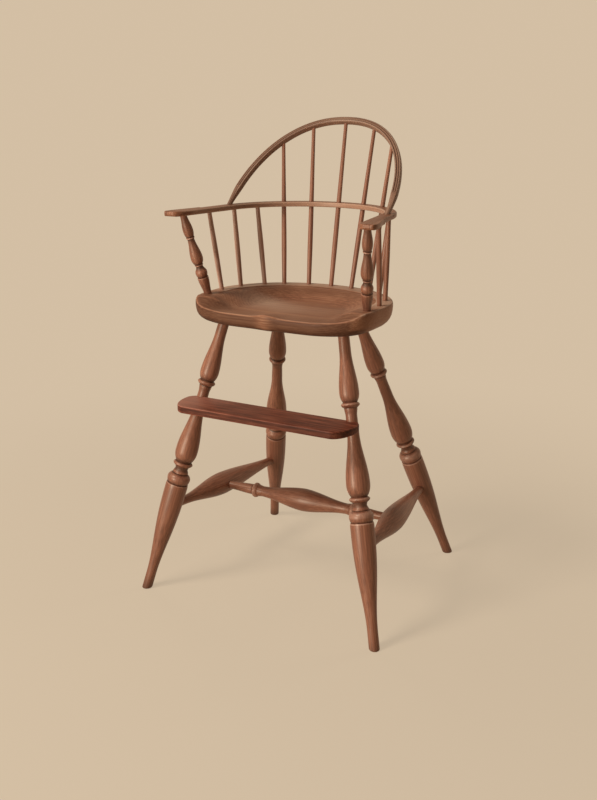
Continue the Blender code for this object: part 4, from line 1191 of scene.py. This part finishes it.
# %% [markdown]
# ## Bent work
#
# The arm rail, the hand blocks on its ends and the bow follow a path, so a second tree makes them. Each
# point of the path stores which way is outward and upward there and how far the section reaches, and each
# point of the section stores where it lies between those reaches. Curve to Mesh carries both kinds of
# attribute to the swept surface, and Set Position puts them together. The bow's section also stores the
# two lines scribed along its face, and a round that the ends are shaved to.

# %% Geometry Nodes: bent work
bender, (strip, section, wood) = shape_tree(
    "bender", Geometry="Geometry", Section="Object", Wood="Material")


def blended(low, high, share):
    return low + (high - low) * share


drawn = bender.node("GeometryNodeObjectInfo", None, {"Object": section}, "Geometry")
swept = bender.node("GeometryNodeCurveToMesh", None, {
    "Curve": bender.node("GeometryNodeMeshToCurve", None, {"Mesh": strip}),
    "Profile Curve": bender.node("GeometryNodeMeshToCurve", None, {"Mesh": drawn}),
    "Scale": 0.001, "Fill Caps": True})
place = bender.stored("base", "FLOAT_VECTOR")
for way, low, high, direction in (("across", "low", "high", "outward"), ("up", "under", "over", "upward")):
    share = blended(bender.stored(way), bender.stored("seam_" + way), bender.stored("seamed"))
    square = blended(bender.stored(low), bender.stored(high), share)
    if way == "up":
        square = square - bender.stored("scribed") * bender.stored("scribing")
    shaved = bender.stored("shaved") * bender.stored("round_" + way)
    reach = blended(shaved, square, bender.stored("fullness"))
    offset = bender.node("ShaderNodeVectorMath", {"operation": "SCALE"},
                         {0: bender.stored(direction, "FLOAT_VECTOR"), "Scale": reach})
    place = bender.vector_maths("ADD", place, offset)
swept = bender.node("GeometryNodeSetPosition", None, {"Geometry": swept, "Position": place})
bender.hand_over(swept, wood)
print("bender nodes:", len(bender.tree.nodes))


# %% Sections and the call that bends a strip
CORNER_STEPS = 7
SEAM_CORNER = 0.04
BOW_END = 0.0046
# Lines along the bow's face: place, half width as a share of the face, and depth
BOW_SCRIBES = ((0.68, 0.065, 0.0013), (0.32, 0.065, 0.0013))


def section_outline(corner_across, corner_up, scribes, squared):
    """Points (across, up, scribed depth) of a rounded rectangle; a squared side keeps its corners."""
    outline = []
    for side, level, first in ((1, 1, 0), (0, 1, 90), (0, 0, 180), (1, 0, 270)):
        ease = SEAM_CORNER if side == squared else 1.0
        wide, tall = corner_across * ease, corner_up * ease
        centre = (abs(side - wide), abs(level - tall))
        for angle in np.radians(np.linspace(first, first + 90, CORNER_STEPS)):
            outline.append((centre[0] + wide * math.cos(angle), centre[1] + tall * math.sin(angle), 0.0))
        if first == 0:
            for middle, width, depth in scribes:
                outline += [(middle + width * step, 1.0, depth * share)
                            for step, share in ((1, 0.0), (0.5, 0.6), (0, 1.0), (-0.5, 0.6), (-1, 0.0))]
    return outline


def rounded_section(name, corner_across, corner_up, scribes=(), squared=None, seam_side=None):
    """Section for the bender: its outline, and a second one with a squared side for a glued seam."""
    outline = section_outline(corner_across, corner_up, scribes, squared)
    seam = section_outline(corner_across, corner_up, scribes, squared if seam_side is None else seam_side)
    flat = [Vector((across - 0.5, up - 0.5, 0)) for across, up, _ in outline]
    item = new_item(name, flat, edges=[(index, (index + 1) % len(flat)) for index in range(len(flat))])
    columns = (*zip(*outline), *list(zip(*seam))[:2], *zip(*(point.normalized() for point in flat)))
    labels = ("across", "up", "scribed", "seam_across", "seam_up", "round_across", "round_up")
    for label, values in zip(labels, columns):
        store(item, label, values)
    return item


def bend(name, stations, section):
    """Sweep a section along stations, each with its values in the order of the labels below."""
    bases, outs, ups, *reaches = zip(*stations)
    item = path_item(name, bases)
    for label, values in (("base", bases), ("outward", outs), ("upward", ups)):
        store(item, label, values, "FLOAT_VECTOR")
    for label, values in zip(("low", "high", "under", "over", "fullness", "scribing", "seamed"), reaches):
        store(item, label, values)
    store(item, "shaved", [BOW_END] * len(stations))
    return run_tree(item, bender, Section=section, Wood=FINISHES["bent_wood"])


rail_section = rounded_section("rail_section", 0.13, 0.27, seam_side=1)
block_section = rounded_section("block_section", 0.22, 0.27, squared=0)
bow_section = rounded_section("bow_section", 0.20, 0.22, BOW_SCRIBES)
print("section points:", len(rail_section.data.vertices), len(bow_section.data.vertices))

# %% Where a point lies on a bent strip
STRIP_PITH = (0.05, 0.02)
RUBBED_REACH = 0.0018


def strip_log(stations):
    """Log coordinates that follow a strip: across it, up it and along its path."""
    bases, outs, ups = (np.array(column) for column in list(zip(*stations))[:3])
    run = np.concatenate([[0.0], np.cumsum(np.linalg.norm(np.diff(bases, axis=0), axis=1))])

    def to_log(points):
        nearest = np.linalg.norm(points[:, None, :] - bases[None, :, :], axis=2).argmin(1)
        away = points - bases[nearest]
        ahead = np.cross(outs[nearest], ups[nearest])
        step = np.gradient(bases, axis=0)[nearest]
        forward = np.sign((ahead * step).sum(1)) * (ahead * away).sum(1)
        across, up = (away * outs[nearest]).sum(1), (away * ups[nearest]).sum(1)
        return np.stack([across + STRIP_PITH[0], up + STRIP_PITH[1], run[nearest] + forward], axis=1)

    return to_log


def hand_tone(points, log):
    """Hands rub the arrises of the rail, and most of all the ends they grip; the hands' upright faces get
    painted shade, and the rail's inner face painted light.
    """
    across, from_middle = log[:, 0] - STRIP_PITH[0], np.abs(log[:, 1] - STRIP_PITH[1] - RAIL_THICKNESS / 2)
    arris = hump(np.abs(across) - RAIL_WIDTH / 2, RUBBED_REACH)
    arris *= hump(from_middle - RAIL_THICKNESS / 2, RUBBED_REACH)
    behind_tip = points[:, 1] - rail_arm(HAND_TIP, 0.0).y
    gripped = smooth((0.045 - behind_tip) / 0.020)
    # The hands' upright faces, which get painted shade
    shaded_upright = smooth((0.40 * RAIL_THICKNESS - from_middle) / (0.12 * RAIL_THICKNESS))
    free = 1 - smooth((0.095 - behind_tip) / 0.01) * (across > 0)
    # Painted light on the rail's inner face
    inner_face_light = 0.42 * smooth((-across - 0.35 * RAIL_WIDTH) / (0.10 * RAIL_WIDTH))
    return 0.65 * arris * free + gripped * (0.12 - 0.25 * shaded_upright) + inner_face_light * free * (1 - gripped)


print("wear reaches", RUBBED_REACH * 1000, "mm from an arris")

# %% Arm rail and hands
HAND_BLOCK_LENGTH = 0.085
HAND_END_ROUND = 0.0044
HAND_CORNER = (0.022, 0.0130)
# Stations round the hand's corner, beside its block, along the arm and round the bend
HAND_STATIONS = 22
BLOCK_STATIONS = 12
ARM_STATIONS = 16
BEND_STATIONS = 121


def arm_station(forward, low, high):
    """Station of the right arm; near its tip the section turns square to the chair and is rounded."""
    skew = math.tan(RAIL_FLARE) * float(smooth(1 - (HAND_TIP - forward) / HAND_BLOCK_LENGTH))
    past = max(0.0, 1 - (HAND_TIP - forward) / HAND_END_ROUND)
    pinch = HAND_END_ROUND * (1 - math.sqrt(max(0.0, 1 - past * past)))
    seamed = float(forward > HAND_TIP - HAND_BLOCK_LENGTH + 0.0005)
    return (rail_arm(forward, RAIL_UNDER), OUTWARD + skew * AHEAD, UP, low, high,
            pinch, RAIL_THICKNESS - pinch, 1.0, 0.0, seamed)


def mirrored_station(station):
    base, outward, upward, *rest = station
    return (on_side(base, -1), on_side(outward, -1), upward, *rest)


half_width = RAIL_WIDTH / 2
arm = []
for turned in np.linspace(0, 1, HAND_STATIONS) * math.pi / 2:
    forward = HAND_TIP - HAND_CORNER[0] * (1 - math.cos(turned))
    arm.append(arm_station(forward, HAND_CORNER[1] * (1 - math.sin(turned)) - half_width, half_width))
block_start = HAND_TIP - HAND_BLOCK_LENGTH
beside_block = np.linspace(HAND_TIP - HAND_CORNER[0], block_start + 0.001, BLOCK_STATIONS)[1:]
for forward in (*beside_block, block_start, *np.linspace(block_start, 0, ARM_STATIONS)[1:-1]):
    arm.append(arm_station(forward, -half_width, half_width))
rail_stations = list(arm)
for angle in np.linspace(RAIL_FLARE, math.pi - RAIL_FLARE, BEND_STATIONS):
    radial = Vector((math.cos(angle), math.sin(angle), 0))
    rail_stations.append((rail_bend(angle, RAIL_UNDER), radial, UP, -half_width, half_width,
                          0.0, RAIL_THICKNESS, 1.0, 0.0, 0.0))
rail_stations += [mirrored_station(station) for station in reversed(arm)]
rail = bend("arm_rail_wood", rail_stations, rail_section)
print("rail stations:", len(rail_stations))

# %% Hand blocks
BLOCK_STEP = 0.003
BLOCK_WIDTH = 0.0108
BLOCK_ROUND = 0.017
BLOCK_TIP = 0.0026
block_low = half_width + CLEARANCE
block = []
for share in np.linspace(0, 1, 24):
    forward = HAND_TIP - HAND_BLOCK_LENGTH + (HAND_BLOCK_LENGTH - BLOCK_ROUND) * share
    width = BLOCK_STEP + (BLOCK_WIDTH - BLOCK_STEP) * float(smooth(share))
    block.append(arm_station(forward, block_low, block_low + width))
for turned in np.linspace(0, 1, 20)[1:] * math.pi / 2:
    width = BLOCK_TIP + (BLOCK_WIDTH - BLOCK_TIP) * math.cos(turned)
    block.append(arm_station(HAND_TIP - BLOCK_ROUND * (1 - math.sin(turned)), block_low, block_low + width))
for side, hand in SIDES:
    stations = block if side > 0 else [mirrored_station(station) for station in block]
    item = bend(hand + "_hand_block_wood", stations, block_section)
    dress(item, hand + "_hand_block", "bent_wood", strip_log(stations), hand_tone)

# %% Bow
BOW_WIDTH = 0.012
BOW_DEPTH = 0.011
BOW_TAPER = 0.050
BOW_TENON = 0.0077
SCRIBE_START = 0.040
SCRIBE_RUN = 0.012
bow_front = Vector((1, 0, 0)).cross(bow_up)
if bow_front.y > 0:
    bow_front = -bow_front
right_foot = Vector((bow_foot.x, 0, 0)) + bow_base
bow_path = [right_foot - bow_up * (BOW_TENON * (1 - share)) for share in np.linspace(0, 1, 6)[:-1]]
bow_path += [bow_place(angle) for angle in np.linspace(0, math.pi / 2, 91)]
half_bow = []
travelled = -BOW_TENON
for index, point in enumerate(bow_path):
    before = bow_path[max(index - 1, 0)]
    after = bow_path[min(index + 1, len(bow_path) - 1)]
    ahead = (after - before).normalized() if index < len(bow_path) - 1 else Vector((-1, 0, 0))
    outside = ahead.cross(bow_front).normalized()
    if outside.dot(point - bow_base) < 0:
        outside = -outside
    travelled += (point - before).length
    full = float(smooth(travelled / BOW_TAPER))
    scribing = float(smooth((travelled - SCRIBE_START) / SCRIBE_RUN))
    half_bow.append((point, outside, bow_front, -BOW_WIDTH / 2, BOW_WIDTH / 2,
                     -BOW_DEPTH / 2, BOW_DEPTH / 2, full, scribing, 0.0))
bow_stations = half_bow + [mirrored_station(station) for station in reversed(half_bow[:-1])]
bow = bend("bow_wood", bow_stations, bow_section)
print("bow stations:", len(bow_stations))

# %% Pins, and the bores of the rail and the bow
PIN = 0.0015
PIN_LENGTH = 0.016
PIN_SIDES = 24
PIN_BORER = -0.00575
PIN_DEPTH = 0.0039
pin_cut = Turning(0.0, PIN).level(PIN_LENGTH, 6)
bow_end = Turning(-BOW_TENON - CLEARANCE, BOW_END).level(0.030, 6)
pin_borers = []
for side, hand in SIDES:
    foot = on_side(bow_foot, side)
    middle = foot - bow_up * PIN_DEPTH
    outside = middle - on_side(-OUTWARD, side) * (RAIL_WIDTH / 2 - CLEARANCE)
    matrix = along(outside, middle)
    rail_borers.append(borer(bow_end, along(foot, foot + bow_up)))
    for borers in (pin_borers, bow_borers):
        borers.append(borer(pin_cut, matrix, PIN_BORER, PIN_LENGTH + CLEARANCE, FINE_BORER_SIDES))
    turned_piece("bow_pin_" + hand, pin_cut, matrix, PIN_SIDES, turned_tone(pin_cut, 0, 1))


def bow_tone(_, log):
    across, up = log[:, 0] - STRIP_PITH[0], log[:, 1] - STRIP_PITH[1]
    front = smooth((up - 0.25 * BOW_DEPTH) / (0.2 * BOW_DEPTH))
    lines = hump(np.abs(across) - 0.18 * BOW_WIDTH, 0.0007)
    reeds = hump(np.abs(across) - 0.34 * BOW_WIDTH, 0.0011) + hump(across, 0.0011)
    shown = smooth((log[:, 2] - 0.049) / SCRIBE_RUN)
    return shown * front * (0.30 * reeds - 0.85 * lines)


# The pins cross the bow's sockets, so they are bored after them
bore(rail, rail_borers)
bore(rail, pin_borers)
dress(rail, "arm_rail", "bent_wood", strip_log(rail_stations), hand_tone)
bore(bow, bow_borers)
dress(bow, "bow", "bent_wood", strip_log(bow_stations), bow_tone, "bow")
for item in (rail_section, block_section, bow_section):
    bpy.data.objects.remove(item)
print("pieces dressed:", len(pieces))

# %% [markdown]
# ## Floor, light and camera
#
# The floor and the far background share one pale tan tone, so the chair stands on a plain ground from
# every side. Light comes from the left, broad and soft, as in a north-lit room: one lamp is high and one is
# level with the chair. Two weak lamps fill the far side and the back. The camera looks down a little on the
# chair's right front quarter.

# %% Floor and surroundings
PALE_TAN = (0.655, 0.522, 0.374)
FLOOR_HALF = 40.0
FLOOR_Z = -0.0002
NEAR_GLOW = 0.76
AMBIENT = 0.085


def seen_directly(bench):
    """1 for what the camera sees, straight or in a reflection, and 0 for light on its way."""
    seen = bench.node("ShaderNodeLightPath", out="Is Camera Ray")
    for kind in ("Is Glossy Ray", "Is Transmission Ray"):
        seen = seen.maths("MAXIMUM", seen, bench.node("ShaderNodeLightPath", out=kind))
    return seen


corners = [(x * FLOOR_HALF, y * FLOOR_HALF, FLOOR_Z) for x, y in ((-1, -1), (1, -1), (1, 1), (-1, 1))]
floor = new_item("floor", corners, [(0, 1, 2, 3)])
ground = bpy.data.materials.new("pale_ground")
bench = bench_of(ground)
seen = seen_directly(bench)
here = bench.node("ShaderNodeTexCoord", out="Object")
away = bench.vector_maths("LENGTH", here, (0.0, 0.0, 0.0), out="Value").between(0.35, 1.6)
matt = bench.node("ShaderNodeBsdfDiffuse", None, {"Color": (*PALE_TAN, 1)})
glow = bench.node("ShaderNodeEmission", None, {"Color": (*PALE_TAN, 1), "Strength": 1.0})
share = seen * (NEAR_GLOW + (1 - NEAR_GLOW) * away)
mixed = bench.node("ShaderNodeMixShader", None, {0: share, 1: matt, 2: glow})
bench.node("ShaderNodeOutputMaterial", None, {"Surface": mixed})
floor.data.materials.append(ground)

world = bpy.data.worlds.new("north_room")
bpy.context.scene.world = world
bench = bench_of(world)
seen = seen_directly(bench)
ambient = bench.node("ShaderNodeBackground", None, {"Color": (1.0, 0.92, 0.84, 1), "Strength": AMBIENT})
backdrop = bench.node("ShaderNodeBackground", None, {"Color": (*PALE_TAN, 1), "Strength": 1.0})
mixed = bench.node("ShaderNodeMixShader", None, {0: seen, 1: ambient, 2: backdrop})
bench.node("ShaderNodeOutputWorld", None, {"Surface": mixed})
print("ground tone:", PALE_TAN)

# %% Camera and lamps
PHOTO_WIDTH = 597
FOCAL_PIXELS = 1027.9
SENSOR = 36.0
AZIMUTH = math.radians(28.966)
ELEVATION = math.radians(16.646)
CAMERA_PLACE = Vector((0.909, -1.692, 0.939))
MIDDLE = Vector((0, 0, 0.5))
right = Vector((math.cos(AZIMUTH), math.sin(AZIMUTH), 0))
back = Vector((math.sin(AZIMUTH) * math.cos(ELEVATION), -math.cos(AZIMUTH) * math.cos(ELEVATION),
               math.sin(ELEVATION)))
camera = linked("camera", bpy.data.cameras.new("camera"))
placed = Matrix((right, back.cross(right), back)).transposed().to_4x4()
placed.translation = CAMERA_PLACE
camera.matrix_world = placed
camera.data.sensor_fit = "HORIZONTAL"
camera.data.sensor_width = SENSOR
camera.data.lens = FOCAL_PIXELS * SENSOR / PHOTO_WIDTH
bpy.context.scene.camera = camera


def soft_lamp(name, turn, rise, distance, size, power, colour):
    """Round lamp that looks at the chair, turned from the camera's side and raised by degrees."""
    lamp = linked(name, bpy.data.lights.new(name, "AREA"))
    flat = Matrix.Rotation(math.radians(turn), 3, "Z") @ Vector((back.x, back.y, 0)).normalized()
    aim = flat * math.cos(math.radians(rise)) + UP * math.sin(math.radians(rise))
    lamp.location = MIDDLE + aim * distance
    lamp.rotation_euler = aim.to_track_quat("Z", "Y").to_euler()
    lamp.data.shape = "DISK"
    lamp.data.size = size
    lamp.data.energy = power
    lamp.data.color = colour
    return lamp


soft_lamp("window", -60.0, 45.0, 3.1, 0.9, 71.0, (1.0, 0.97, 0.92))
soft_lamp("low_window", -47.0, 0.0, 2.8, 0.7, 50.0, (1.0, 0.97, 0.92))
far_wall = soft_lamp("far_wall", 115.0, 12.0, 2.4, 1.2, 13.0, (1.0, 0.93, 0.84))
rear_wall = soft_lamp("rear_wall", -150.0, 20.0, 3.0, 1.2, 12.0, (1.0, 0.95, 0.88))
for wall in (far_wall, rear_wall):
    wall.visible_glossy = False
bpy.context.scene.view_settings.view_transform = "Standard"
print("camera at", [round(value, 3) for value in camera.location])

# %% The end
bpy.context.view_layer.update()
